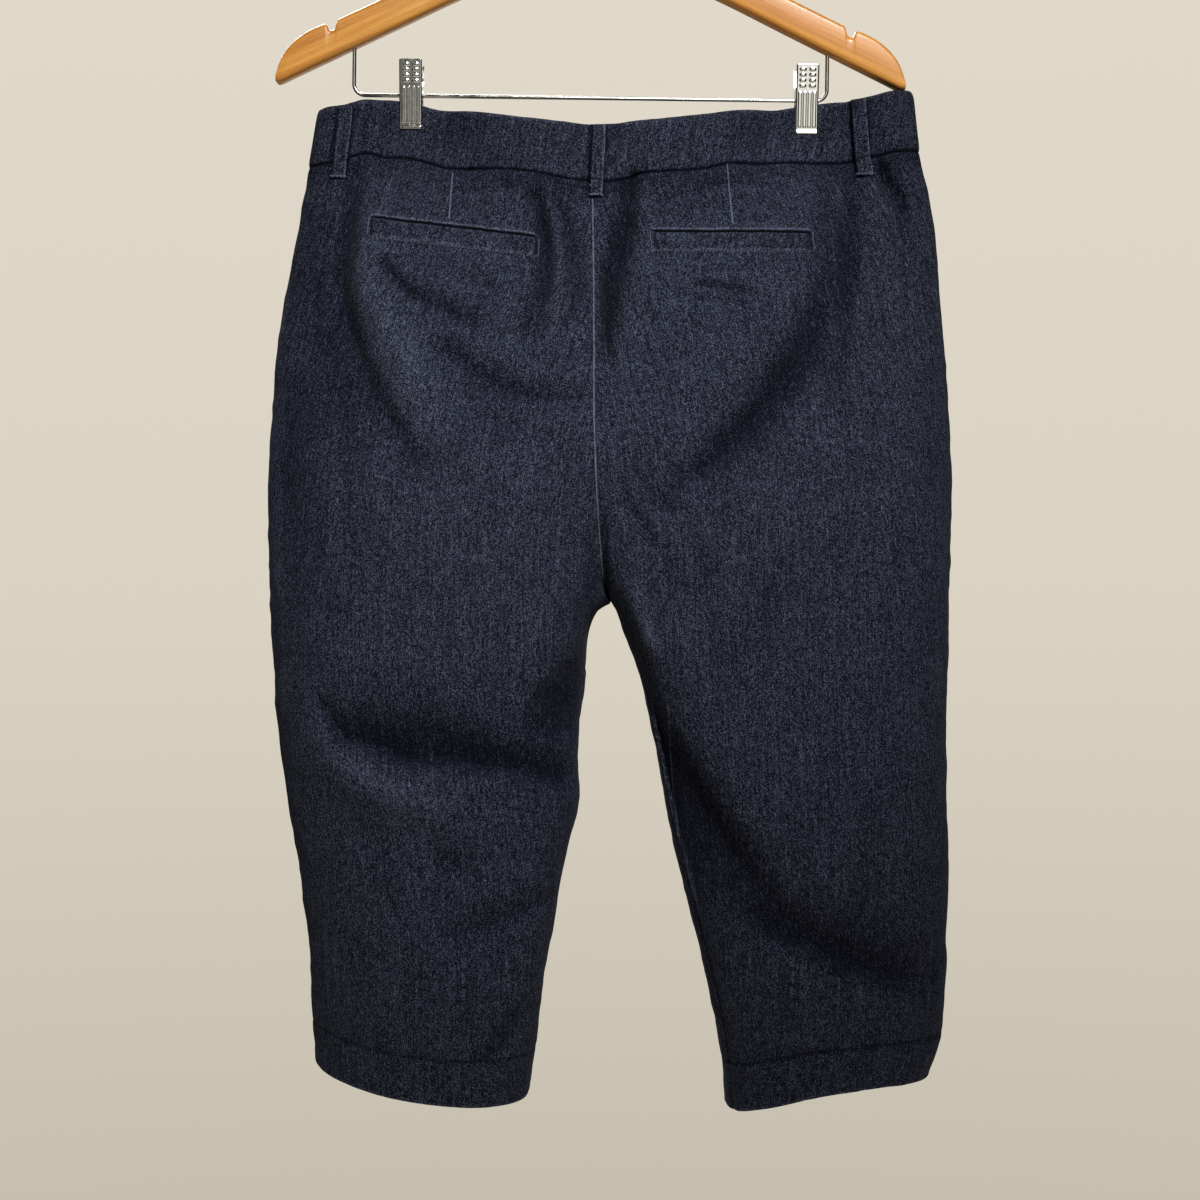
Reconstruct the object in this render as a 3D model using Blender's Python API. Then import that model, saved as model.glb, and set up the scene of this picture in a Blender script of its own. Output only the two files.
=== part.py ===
"""Denim capri pants hung by the waistband from a wooden clip hanger.

Run it with:  blender --background --python part.py
The origin is the rail contact under the top of the hook. +Z is up, -Y is the side with the seat
of the pants, +Y the side with the fly, and -X is the wearer's left. Sizes below are millimetres.

The cloth is four panels (two backs, two fronts) and a waistband in three pieces. Each horizontal
row of a panel runs from the side seam round to the centre seam, or below the crotch to the inseam,
along part of an ellipse. A row's "turn" is the part of the ellipse that it covers: 90 degrees at the
waist, where a panel is a quarter of the torso, and 180 in the leg, where it is half of the tube.
"""

import math

import bmesh
import bpy
import numpy as np

MM = 0.001

# ------------------------------------------------------------------ driving sizes, mm
CLOTH = 1.2  # denim wall
BAND = 2.4  # waistband wall, cloth and facing
HEM_LAYER = 1.2  # the turned-up hem adds one more layer inside
SEAM_GAP = 0.3
LYING_GAP = 0.7  # under a welt or a belt loop

BAND_TOP, BAND_SEAM = 206.0, 244.4  # levels of the rows, measured down from the rail
CROTCH_START, CROTCH = 471.0, 565.0
LEG_START, HEM_TOP, HEM = 600.0, 860.0, 890.0
HEM_STEP = 0.8  # over which the wall thickens at the top of the hem

BAND_ROWS = 4
RISE_ROWS, CROTCH_ROWS, FORK_ROWS, LEG_ROWS, HEM_ROWS = 14, 8, 5, 15, 2
BACK_COLUMNS, FRONT_COLUMNS = 17, 10
DENSE = 181  # points of a row before it is spaced evenly

GARMENT_X = 4.2  # the garment's own middle from the hook's
CLIP_X = (-133.6, 145.6)  # from the garment's middle
CLIP_HALF = BAND + 0.5  # the cloth's outer face from the middle plane, where a clip grips it
CLIP_FLAT = 16.0  # either side of a clip's middle, the cloth lies flat in its jaws
CLIP_BITE = 228.0  # and down to here, just past their lower edge
CLIP_SPREAD, CLIP_WIDENS, CLIP_FADE = 20.0, 0.35, 42.0  # how the cloth opens out beside and below them


class Table:
    """Rows of numbers with named columns. The first column is the one that the rows are looked up by."""

    def __init__(self, names, rows):
        self.names = names.split()
        self.rows = np.array(rows, float)

    def at(self, name, where):
        """Smooth curve through a column's values."""
        x, y = self.rows[:, 0], self.rows[:, self.names.index(name)]
        where = np.clip(np.asarray(where, float), x[0], x[-1])
        step = np.diff(y) / np.diff(x)
        same_way = step[:-1] * step[1:] > 0
        inner = np.zeros(len(step) - 1)
        inner[same_way] = 2 / (1 / step[:-1][same_way] + 1 / step[1:][same_way])
        slope = np.concatenate([step[:1], inner, step[-1:]])
        i = np.clip(np.searchsorted(x, where, side="right") - 1, 0, len(x) - 2)
        width = x[i + 1] - x[i]
        u = (where - x[i]) / width
        return (
            y[i] * (1 + 2 * u) * (1 - u) ** 2
            + slope[i] * width * u * (1 - u) ** 2
            + y[i + 1] * u * u * (3 - 2 * u)
            + slope[i + 1] * width * u * u * (u - 1)
        )


# ------------------------------------------------------------------ where the seams run, mm
SIDES = Table(
    "level left_x left_y left_drop right_x right_y right_drop",
    [
        (206.0, -199.5, 0, 210.5, 221.5, 0, 198.6),
        (244.4, -206.0, 0, 250.0, 226.0, 0, 238.8),
        (272.8, -210.5, 0, 275.0, 232.4, 0, 270.0),
        (301.1, -214.7, 0, 301.1, 237.4, 0, 300.0),
        (357.8, -225.3, 0, 357.8, 241.6, 0, 357.8),
        (414.5, -231.0, 0, 414.5, 245.9, 0, 414.5),
        (471.2, -233.8, 0, 471.2, 248.0, 0, 471.2),
        (527.9, -233.8, 0, 527.9, 247.3, 0, 527.9),
        (584.5, -231.7, 3, 584.5, 245.2, 2, 584.5),
        (641.2, -228.2, 6, 641.2, 244.5, 4, 641.2),
        (697.9, -221.8, 10, 697.9, 245.2, 6, 697.9),
        (754.6, -213.3, 14, 754.6, 246.6, 8, 754.6),
        (811.3, -207.6, 18, 809.0, 245.9, 11, 811.3),
        (860.0, -205.5, 21, 855.5, 242.5, 14, 861.5),
        (890.0, -203.5, 23, 884.0, 234.5, 15, 891.0),
    ],
)
CENTRE_BACK = Table(
    "level x y drop",
    [
        (206.0, -5.5, -27, 226.8),
        (244.4, -5.5, -31, 265.8),
        (301.1, -5.0, -40, 312.0),
        (357.8, -4.0, -50, 360.0),
        (414.5, -4.0, -57, 414.0),
        (457.0, -3.5, -60.4, 453.0),
        (485.0, -2.5, -59.6, 479.0),
        (510.0, -1.0, -54.5, 507.0),
        (530.0, 1.0, -45.6, 531.0),
        (546.0, 3.0, -33.2, 547.0),
        (556.0, 5.0, -18.7, 556.0),
        (565.0, 6.5, -3.2, 559.5),
    ],
)
CENTRE_FRONT = Table(
    "level x y drop",
    [
        (206.0, -3.0, 15, 232.0),
        (244.4, -3.0, 20, 272.0),
        (301.1, -2.0, 30, 318.0),
        (357.8, -1.0, 38, 366.0),
        (414.5, 0.0, 44, 417.0),
        (457.0, 1.0, 46.9, 455.0),
        (485.0, 2.0, 47.7, 482.0),
        (510.0, 3.0, 45.7, 508.0),
        (530.0, 4.0, 39.9, 531.0),
        (546.0, 5.0, 30.8, 547.0),
        (556.0, 6.0, 19.2, 556.0),
        (565.0, 6.5, -3.2, 559.5),
    ],
)
INSEAMS = Table(
    "level left_x left_y left_drop right_x right_y right_drop",
    [
        (565.0, 6.5, -3.2, 559.5, 6.5, -3.2, 559.5),
        (570.0, 0.5, -3.6, 561.5, 10.0, -7.0, 562.0),
        (576.0, -5.0, -4.0, 566.0, 13.0, -12.0, 568.0),
        (584.0, -8.3, -4.0, 577.0, 16.0, -17.5, 578.0),
        (595.0, -9.5, -3.5, 592.0, 22.5, -22.0, 592.0),
        (612.9, -11.3, -3.0, 612.0, 30.5, -25.0, 612.5),
        (641.2, -15.0, -3.0, 641.2, 37.5, -26.0, 641.5),
        (669.6, -15.6, -4.0, 670.0, 43.5, -26.5, 670.0),
        (692.0, -14.2, -5.0, 693.0, 48.0, -26.5, 693.0),
        (726.3, -22.0, -6.5, 728.0, 55.5, -26.5, 728.0),
        (754.6, -28.3, -8.0, 757.5, 63.0, -26.5, 758.0),
        (783.0, -33.0, -9.5, 787.5, 71.0, -27.0, 789.0),
        (811.3, -39.0, -11.0, 817.5, 79.0, -27.5, 820.0),
        (840.0, -42.6, -12.5, 848.0, 85.5, -28.0, 853.0),
        (860.0, -45.6, -13.5, 869.5, 89.0, -29.0, 877.0),
        (890.0, -50.0, -14.0, 900.0, 92.0, -30.0, 908.0),
    ],
)
DEPTHS = Table(
    "level back_left back_right front_left front_right",
    [
        (206.0, 27, 27, 15, 15),
        (244.4, 32, 32, 20, 20),
        (301.1, 44, 43, 30, 30),
        (357.8, 55, 53, 38, 38),
        (414.5, 62, 60, 44, 44),
        (457.0, 66, 64, 48, 48),
        (510.0, 69, 68, 51, 51),
        (565.0, 70, 69, 53, 53),
        (612.9, 70, 70, 54, 54),
        (669.6, 68, 72, 54, 54),
        (726.3, 62, 70, 52, 53),
        (783.0, 60, 66, 51, 52),
        (840.0, 60, 62, 50, 51),
        (890.0, 60, 61, 50, 50),
    ],
)
# How far round its ellipse each row goes, how square the ellipse is towards the centre seam, and how
# late along the row its level gives way to that of the centre seam.
TURNS = Table(
    "level back_left back_right front_left front_right square late",
    [
        (206.0, 90, 90, 90, 90, 2.0, 1.0),
        (301.1, 92, 92, 91, 91, 2.2, 1.0),
        (414.5, 102, 102, 98, 98, 2.6, 1.0),
        (457.0, 109.8, 109.8, 105.1, 105.1, 3.0, 1.0),
        (485.0, 119.8, 119.8, 113.6, 113.6, 3.4, 1.5),
        (510.0, 134.8, 134.8, 129.4, 129.4, 3.9, 2.5),
        (530.0, 151.4, 151.4, 148.3, 148.3, 4.3, 3.5),
        (546.0, 165.9, 165.9, 164.9, 164.9, 4.5, 4.0),
        (556.0, 175.4, 175.4, 175.4, 175.4, 4.5, 4.5),
        (565.0, 179.6, 179.6, 180.2, 180.4, 4.4, 4.5),
        (584.0, 179.2, 174.1, 180.8, 185.9, 4.0, 4.0),
        (612.9, 179.2, 167.7, 180.8, 192.3, 3.6, 2.0),
        (669.6, 179.0, 164.0, 181.0, 196.0, 3.0, 1.0),
        (726.3, 178.5, 161.5, 181.5, 198.5, 2.7, 1.0),
        (890.0, 178.0, 159.0, 182.0, 201.0, 2.4, 1.0),
    ],
)
SIDE_SQUARE = 2.25
# The waistband's edges between the side seams and the centres: a shallow catenary from clip to clip.
BACK_EDGES = Table(
    "x top seam",
    [
        (-206, 211.0, 250.0),
        (-199, 211.4, 249.7),
        (-192, 210.5, 248.8),
        (-181, 210.1, 248.3),
        (-174, 208.2, 243.8),
        (-163, 205.0, 241.0),
        (-150, 204.2, 243.7),
        (-137, 205.6, 243.9),
        (-126.8, 207.8, 246.0),
        (-116.5, 210.6, 249.4),
        (-106, 213.2, 252.8),
        (-86.5, 216.9, 255.0),
        (-70, 219.4, 256.1),
        (-45, 222.5, 259.2),
        (-26, 224.6, 263.3),
        (-5.5, 226.8, 265.8),
        (3, 226.3, 266.3),
        (14, 225.4, 264.6),
        (28, 223.3, 260.0),
        (47, 221.4, 258.7),
        (72, 218.4, 256.6),
        (90, 215.7, 251.6),
        (110.6, 212.5, 250.0),
        (133, 208.8, 247.6),
        (143, 207.7, 248.2),
        (166, 205.6, 248.2),
        (179, 203.7, 246.4),
        (192, 201.2, 244.5),
        (208.6, 196.8, 240.9),
        (218, 195.9, 239.8),
        (226, 198.6, 238.8),
    ],
)
FRONT_EDGES = Table(
    "x top seam",
    [
        (-206, 209.0, 244.6),
        (-134, 207.0, 248.0),
        (-60, 223.0, 263.5),
        (-3, 232.0, 272.0),
        (60, 223.0, 262.5),
        (146, 207.5, 250.0),
        (226, 199.5, 239.0),
    ],
)
EDGE_FADE = 90.0  # how far below the band its dips die out
HEM_LIFT = {"back_left": -5.0, "back_right": 9.0, "front_left": 0.0, "front_right": 3.0}
HEM_LIFT_FROM = 740.0

# ------------------------------------------------------------------ folds, mm
# Each fold is a curve through three points in the plane of the hanging garment, x across and drop
# down, pressed in (negative) or standing out (positive) by "depth". Its slope is "above" wide on
# the side with the smaller drop, and "below" wide on the other; "left" and "right" for steep folds.
FOLDS = Table(
    "front x0 drop0 x1 drop1 x2 drop2 depth above below",
    [
        # seat and hips
        (0, -172, 263, -178, 309, -176, 356, -6.0, 10, 14),
        (0, -176, 356, -148, 418, -110, 488, -7.0, 20, 17),
        (0, -158, 325, -127, 349, -83, 369, -4.0, 10, 12),
        (0, -119, 379, -82, 407, -20, 423, -4.0, 11, 12),
        (0, -136, 410, -102, 441, -40, 468, 5.0, 18, 18),
        (0, 22, 268, 15, 317, 6, 396, -7.0, 9, 10),
        (0, 156, 352, 116, 410, 54, 476, -9.5, 14, 16),
        (0, 175, 271, 173, 331, 163, 400, -4.5, 10, 12),
        # knees and calves
        (0, -182, 632, -158, 658, -92, 650, -11.0, 20, 15),
        (0, -102, 646, -61, 663, -16, 681, -10.0, 14, 12),
        (0, -133, 734, -109, 741, -75, 750, -3.5, 12, 12),
        (0, -102, 781, -65, 774, -25, 750, -5.5, 12, 12),
        (0, 36, 606, 74, 694, 140, 768, -18.0, 15, 34),
        (0, 106, 771, 150, 786, 200, 798, -9.0, 13, 13),
        # the fronts fall straighter
        (1, -150, 300, -128, 372, -80, 450, -6.0, 16, 16),
        (1, 160, 300, 130, 372, 78, 452, -6.0, 16, 16),
        (1, -190, 640, -130, 668, -60, 652, -8.0, 17, 15),
        (1, 205, 652, 140, 682, 78, 664, -8.0, 17, 15),
        (1, -180, 760, -120, 782, -55, 762, -5.0, 16, 15),
        (1, 205, 776, 160, 792, 110, 778, -5.0, 16, 15),
    ],
)
FOLD_END = 0.22  # share of a fold's length over which it runs out at each end
FOLD_STEPS = 40
SEAM_CALM = 14.0  # folds die out this close to a seam


# ------------------------------------------------------------------ the garment's surface
PANELS = ("back_left", "back_right", "front_left", "front_right")


def levels_of_rows():
    """The levels of a panel's rows, from the waist seam to the hem."""
    runs = [
        (BAND_SEAM, CROTCH_START, RISE_ROWS),
        (CROTCH_START, CROTCH, CROTCH_ROWS),
        (CROTCH, LEG_START, FORK_ROWS),
        (LEG_START, HEM_TOP, LEG_ROWS),
        (HEM_TOP, HEM, HEM_ROWS),
    ]
    levels = [BAND_SEAM]
    for start, end, count in runs:
        levels += list(np.linspace(start, end, count + 1)[1:])
    levels.append(HEM_TOP - HEM_STEP)
    return np.array(sorted(levels))


def seam_points(panel, level):
    """(side seam point, centre seam or inseam point) of a panel's row."""
    front, side = panel.split("_")
    outer = np.array([SIDES.at(f"{side}_{k}", level) for k in ("x", "y", "drop")])
    if level <= CROTCH:
        centre = CENTRE_BACK if front == "back" else CENTRE_FRONT
        inner = np.array([centre.at(k, level) for k in ("x", "y", "drop")])
    else:
        inner = np.array([INSEAMS.at(f"{side}_{k}", level) for k in ("x", "y", "drop")])
    return outer, inner


def smooth(u):
    """0 to 1 with no slope at either end."""
    u = np.clip(u, 0, 1)
    return u * u * (3 - 2 * u)


def power(value, exponent):
    return np.sign(value) * np.abs(value) ** exponent


def band_dip(panel, level, x, straight, outer, inner):
    """How far the band's edges, and the rows just under it, lie below a straight line."""
    edges = BACK_EDGES if panel.startswith("back") else FRONT_EDGES

    def dip(name, ends):
        share = (x - ends[0][0]) / (ends[1][0] - ends[0][0])
        line = ends[0][2] + (ends[1][2] - ends[0][2]) * share
        off = edges.at(name, x) - line
        return off - (off[0] + (off[-1] - off[0]) * share)

    if level <= BAND_SEAM:
        u = (level - BAND_TOP) / (BAND_SEAM - BAND_TOP)
        ends = (outer, inner)
        return dip("top", ends) * (1 - u) + dip("seam", ends) * u
    fade = 1 - smooth((level - BAND_SEAM) / EDGE_FADE)
    if fade <= 0:
        return np.zeros_like(x)
    return dip("seam", seam_points(panel, BAND_SEAM)) * fade


def pinch(x, drop):
    """1 where a clip holds the front and back together, and 0 where they hang free."""
    total = np.zeros_like(x)
    for clip in CLIP_X:
        wide = CLIP_SPREAD + CLIP_WIDENS * np.maximum(drop - BAND_TOP, 0)
        beside = np.maximum(np.abs(x - clip) - CLIP_FLAT, 0)
        reach = np.exp(-((np.maximum(drop - CLIP_BITE, 0) / CLIP_FADE) ** 2))
        total = np.maximum(total, np.exp(-((beside / wide) ** 2)) * reach)
    return total


def dense_row(panel, level):
    """Points of a row before folds, as (x, y, drop)."""
    outward = -1 if panel.startswith("back") else 1
    outer, inner = seam_points(panel, level)
    depth = DEPTHS.at(panel, level)
    turn = math.radians(float(TURNS.at(panel, level)))
    square = float(TURNS.at("square", level))
    angle = np.linspace(0, turn, DENSE)
    towards_side = angle <= math.pi / 2
    exponent = 2 / np.where(towards_side, SIDE_SQUARE, square)
    across = power(np.cos(angle), exponent)
    out = power(np.sin(angle), exponent)
    share = (1 - across) / (1 - across[-1])
    x = outer[0] + (inner[0] - outer[0]) * share
    base_end = inner[1] - outward * depth * out[-1]
    y = outer[1] + (base_end - outer[1]) * share + outward * depth * out
    drop = outer[2] + (inner[2] - outer[2]) * share ** float(TURNS.at("late", level))
    drop = drop + band_dip(panel, level, x, drop, outer, inner)
    lift = HEM_LIFT[panel] * smooth((level - HEM_LIFT_FROM) / (HEM - HEM_LIFT_FROM))
    drop = drop - lift * np.sin(math.pi * share)
    if level < CROTCH_START:
        held = pinch(x, drop)
        y = y * (1 - held) + outward * CLIP_HALF * held
    return np.stack([x, y, drop], axis=-1)


def evenly(points, shares):
    """Points of a row at these shares of its length."""
    length = np.linalg.norm(np.diff(points, axis=0), axis=1)
    along = np.concatenate([[0], np.cumsum(length)])
    at = np.asarray(shares) * along[-1]
    return np.stack([np.interp(at, along, points[:, k]) for k in range(3)], axis=-1)


def grid_normals(grid, outward):
    """Unit normals that point out of the garment."""
    down = np.gradient(grid, axis=0)
    side = np.gradient(grid, axis=1)
    normal = np.cross(side, down)
    normal /= np.maximum(np.linalg.norm(normal, axis=-1, keepdims=True), 1e-9)
    middle = normal[:, normal.shape[1] // 2, 1].mean()
    return normal if middle * outward > 0 else -normal


def fold_offsets(panel, grid):
    """How far each point of a grid stands out (or in) because of the folds."""
    rows, columns = grid.shape[:2]
    total = np.zeros((rows, columns))
    x, drop = grid[..., 0], grid[..., 2]
    is_front = float(panel.startswith("front"))
    for front, x0, d0, x1, d1, x2, d2, depth, above, below in FOLDS.rows:
        if front != is_front:
            continue
        u = np.linspace(0, 1, FOLD_STEPS + 1)[:, None]
        start, middle, end = np.array([x0, d0]), np.array([x1, d1]), np.array([x2, d2])
        control = 2 * middle - (start + end) / 2
        curve = start * (1 - u) ** 2 + 2 * control * u * (1 - u) + end * u * u
        offset = np.stack([x, drop], axis=-1)[..., None, :] - curve
        distance = np.linalg.norm(offset, axis=-1)
        nearest = distance.argmin(axis=-1)
        tangent = np.gradient(curve, axis=0)[nearest]
        away = np.take_along_axis(offset, nearest[..., None, None], axis=2)[..., 0, :]
        if abs(x2 - x0) >= abs(d2 - d0):
            tangent = tangent * np.sign(tangent[..., :1])
        else:
            tangent = tangent * np.sign(tangent[..., 1:2]) * np.array([-1, -1])
        side = tangent[..., 0] * away[..., 1] - tangent[..., 1] * away[..., 0]
        width = np.where(side < 0, above, below)
        gap = distance.min(axis=-1)
        along = nearest / FOLD_STEPS
        ends = smooth(along / FOLD_END) * smooth((1 - along) / FOLD_END)
        total += depth * np.exp(-((gap / width) ** 2)) * ends
    spans = np.linalg.norm(np.diff(grid, axis=1), axis=-1)
    along = np.concatenate([np.zeros((rows, 1)), np.cumsum(spans, axis=1)], axis=1)
    to_seam = np.minimum(along, along[:, -1:] - along)
    to_band = np.maximum(grid[..., 2] - grid[:1, :, 2], 0)
    return total * smooth(to_seam / SEAM_CALM) * smooth(to_band / SEAM_CALM)


def surface(panel, levels, shares):
    """A grid of points on the outside of a panel or band, rows by columns, before folds."""
    return np.stack([evenly(dense_row(panel, level), shares) for level in levels])


def folded(panel, grid, outward):
    return grid + grid_normals(grid, outward) * fold_offsets(panel, grid)[..., None]


# ------------------------------------------------------------------ seams between pieces
def unit(vectors):
    length = np.linalg.norm(vectors, axis=-1, keepdims=True)
    return vectors / np.maximum(length, 1e-9)


def drawn_back(grid, normal, axis, end):
    """Moves one edge of a grid into its piece by half the seam gap."""
    grid = grid.copy()
    edge = [slice(None), slice(None)]
    edge[axis] = end
    inside = [slice(None), slice(None)]
    inside[axis] = end + 1 if end == 0 else end - 1
    edge, inside = tuple(edge), tuple(inside)
    along = np.gradient(grid[edge], axis=0)
    inward = unit(np.cross(normal[edge], along))
    towards = grid[inside] - grid[edge]
    inward *= np.sign((inward * towards).sum(-1, keepdims=True))
    grid[edge] = grid[edge] + inward * (SEAM_GAP / 2)
    return grid


def garment():
    """Outer points and wall directions of the panels and of the band over each of them."""
    levels = levels_of_rows()
    band_levels = np.linspace(BAND_TOP, BAND_SEAM, BAND_ROWS)
    grids, normals, bands, band_normals = {}, {}, {}, {}
    for panel in PANELS:
        outward = -1 if panel.startswith("back") else 1
        columns = BACK_COLUMNS if outward < 0 else FRONT_COLUMNS
        shares = np.linspace(0, 1, columns + 1)
        grids[panel] = folded(panel, surface(panel, levels, shares), outward)
        normals[panel] = grid_normals(grids[panel], outward)
        bands[panel] = surface(panel, band_levels, shares)
        band_normals[panel] = grid_normals(bands[panel], outward)
        shared = unit(normals[panel][0] + band_normals[panel][-1])
        normals[panel][0] = shared
        band_normals[panel][-1] = shared
    torso = levels <= CROTCH
    for side in ("left", "right"):
        back, front = f"back_{side}", f"front_{side}"
        for table in (normals, band_normals):
            shared = unit(table[back][:, 0] + table[front][:, 0])
            table[back][:, 0] = shared
            table[front][:, 0] = shared
    for name in ("back", "front"):
        left, right = f"{name}_left", f"{name}_right"
        for table, rows in ((normals, torso), (band_normals, slice(None))):
            shared = table[left][rows, -1] + table[right][rows, -1]
            shared[:, 0] = 0
            shared = unit(shared)
            table[left][rows, -1] = shared
            table[right][rows, -1] = shared
    for side in ("left", "right"):
        back, front = f"back_{side}", f"front_{side}"
        rows = ~torso
        shared = unit(normals[back][rows, -1] + normals[front][rows, -1])
        normals[back][rows, -1] = shared
        normals[front][rows, -1] = shared
    fork = np.flatnonzero(torso)[-1]
    meeting = unit(sum(normals[panel][fork, -1] for panel in PANELS))
    for panel in PANELS:
        normals[panel][fork, -1] = meeting
    return levels, grids, normals, bands, band_normals


# ------------------------------------------------------------------ meshes
def to_world(points):
    """A garment's (x, y, drop) in mm to Blender's metres."""
    return np.stack([points[..., 0] + GARMENT_X, points[..., 1], -points[..., 2]], axis=-1) * MM


def material(name, colour, roughness, metallic=0.0):
    made = bpy.data.materials.get(name)
    if made is None:
        made = bpy.data.materials.new(name)
        made.use_nodes = True
        shader = made.node_tree.nodes["Principled BSDF"]
        shader.inputs["Base Color"].default_value = (*colour, 1)
        shader.inputs["Roughness"].default_value = roughness
        shader.inputs["Metallic"].default_value = metallic
        made.diffuse_color = (*colour, 1)
    return made


def denim():
    return material("denim", (0.022, 0.030, 0.055), 0.9)


def tape():
    return material("zip_tape", (0.020, 0.024, 0.040), 0.8)


def button_metal():
    return material("button_metal", (0.34, 0.33, 0.31), 0.35, 1.0)


def steel():
    return material("chromed_steel", (0.62, 0.62, 0.62), 0.16, 1.0)


def wood():
    return material("varnished_beech", (0.60, 0.29, 0.09), 0.38)


def add_object(name, mesh, made_of):
    obj = bpy.data.objects.new(name, mesh)
    bpy.context.scene.collection.objects.link(obj)
    mesh.materials.append(made_of)
    return obj


def wall(name, outer, inner, made_of):
    """A closed sheet between two grids of points, given in mm."""
    rows, columns = outer.shape[:2]
    count = rows * columns
    points = np.concatenate([to_world(outer).reshape(-1, 3), to_world(inner).reshape(-1, 3)])

    def index(row, column, layer):
        return layer * count + row * columns + column

    faces = []
    for r in range(rows - 1):
        for c in range(columns - 1):
            quad = [(r, c), (r, c + 1), (r + 1, c + 1), (r + 1, c)]
            faces.append([index(*corner, 0) for corner in quad])
            faces.append([index(*corner, 1) for corner in reversed(quad)])
    rim = [(0, c) for c in range(columns)]
    rim += [(r, columns - 1) for r in range(1, rows)]
    rim += [(rows - 1, c) for c in range(columns - 2, -1, -1)]
    rim += [(r, 0) for r in range(rows - 2, 0, -1)]
    for a, b in zip(rim, rim[1:] + rim[:1]):
        faces.append([index(*b, 0), index(*a, 0), index(*a, 1), index(*b, 1)])
    mesh = bpy.data.meshes.new(name)
    mesh.from_pydata(points.tolist(), [], faces)
    work = bmesh.new()
    work.from_mesh(mesh)
    work.normal_update()
    bmesh.ops.triangulate(work, faces=work.faces[:], quad_method="SHORT_EDGE")
    if work.calc_volume(signed=True) < 0:
        bmesh.ops.reverse_faces(work, faces=work.faces[:])
    work.to_mesh(mesh)
    work.free()
    mesh.shade_smooth()
    mesh.set_sharp_from_angle(angle=math.radians(50))
    return add_object(name, mesh, made_of)


# ------------------------------------------------------------------ cloth pieces
def panel_piece(name, grid, normal, levels):
    """A leg panel: cloth, and a second layer inside the turned-up hem."""
    thick = np.where(levels >= HEM_TOP, CLOTH + HEM_LAYER, CLOTH)[:, None, None]
    outer = drawn_back(grid, normal, 1, 0)
    outer = drawn_back(outer, normal, 1, -1)
    outer = drawn_back(outer, normal, 0, 0)
    return wall(name, outer, outer - normal * thick, denim())


def joined_grid(upper, lower, left, right):
    """One grid over both halves of the back or front, from side seam to side seam."""
    halves = [np.concatenate([upper[p], lower[p][1:]]) for p in (left, right)]
    return np.concatenate([halves[0], halves[1][:, -2::-1]], axis=1)


def place_on(grid, x, drop):
    """Points of a grid's own facets at these places, seen square on."""
    rows, columns = np.arange(grid.shape[0]), np.arange(grid.shape[1])
    row, column = grid.shape[0] / 4, grid.shape[1] / 2

    def line(values, at):
        low = int(min(max(at, 0), values.shape[0] - 1.001))
        part = at - low
        return values[low] * (1 - part) + values[low + 1] * part

    for _ in range(12):
        column = np.interp(x, line(grid[..., 0], row), columns)
        row = np.interp(drop, line(grid[..., 2].T, column), rows)
    return line(line(grid, row), column)


def patch_on(grid, corners, rows, columns):
    """A small grid on the cloth inside four corners: top left, top right, lower right, lower left."""
    top_left, top_right, low_right, low_left = (np.array(c, float) for c in corners)
    points = np.zeros((rows, columns, 3))
    for r, v in enumerate(np.linspace(0, 1, rows)):
        for c, u in enumerate(np.linspace(0, 1, columns)):
            top = top_left * (1 - u) + top_right * u
            low = low_left * (1 - u) + low_right * u
            points[r, c] = place_on(grid, *(top * (1 - v) + low * v))
    return points


def lying_piece(name, patch, outward, thick, gap, bow=0.0):
    """A strip over the cloth, bowed away from it along its middle rows."""
    normal = grid_normals(patch, outward)
    rise = np.sin(np.linspace(0, math.pi, patch.shape[0]))[:, None, None] * bow
    inner = patch + normal * (gap + rise)
    return wall(name, inner + normal * thick, inner, denim())


# ------------------------------------------------------------------ trims, mm
LOOP_WIDE, LOOP_THICK, LOOP_BOW = 9.2, 1.6, 1.4
LOOPS = Table(
    "front top_x top_drop low_x low_drop",
    [
        (0, -178.5, 211.0, -184.0, 260.5),
        (0, -0.8, 227.4, -3.0, 277.0),
        (0, 181.5, 205.5, 186.0, 258.5),
        (1, -92.0, 218.5, -90.5, 269.5),
        (1, 98.0, 218.0, 96.5, 269.0),
    ],
)
LOOP_NAMES = ("back_left", "back_centre", "back_right", "front_left", "front_right")

WELT_THICK = 1.3
WELT_CORNERS = {  # top left, top right, lower right, lower left, as (x, drop)
    "welt_left": [(-158.5, 291.0), (-43.0, 306.0), (-43.5, 320.0), (-159.5, 304.5)],
    "welt_right": [(35.0, 302.5), (146.0, 302.0), (147.0, 315.5), (36.5, 316.0)],
}

UNDERLAP = 30.0  # of the waistband, behind the right-hand end
UNDERLAP_CLEAR = 12.0  # its last plain column stops this short of the centre
UNDERLAP_STEP = (-6.0, -1.2)  # it steps inwards between these, measured from the centre
FLY_DROP = (277.0, 428.0)
ZIP_HALF, ZIP_THICK = 12.0, 1.0
SHIELD_X, SHIELD_THICK = (-17.0, 24.0), 1.2
INSIDE_GAP = 0.5
BUTTON_AT = (12.0, 249.5)
# Radius and height of the button's rings, from the cloth outwards.
BUTTON_PROFILE = [(8.2, 0.0), (8.6, 0.9), (8.2, 2.0), (7.0, 2.6), (5.8, 2.2), (3.0, 1.9)]
BUTTON_SIDES = 20

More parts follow.
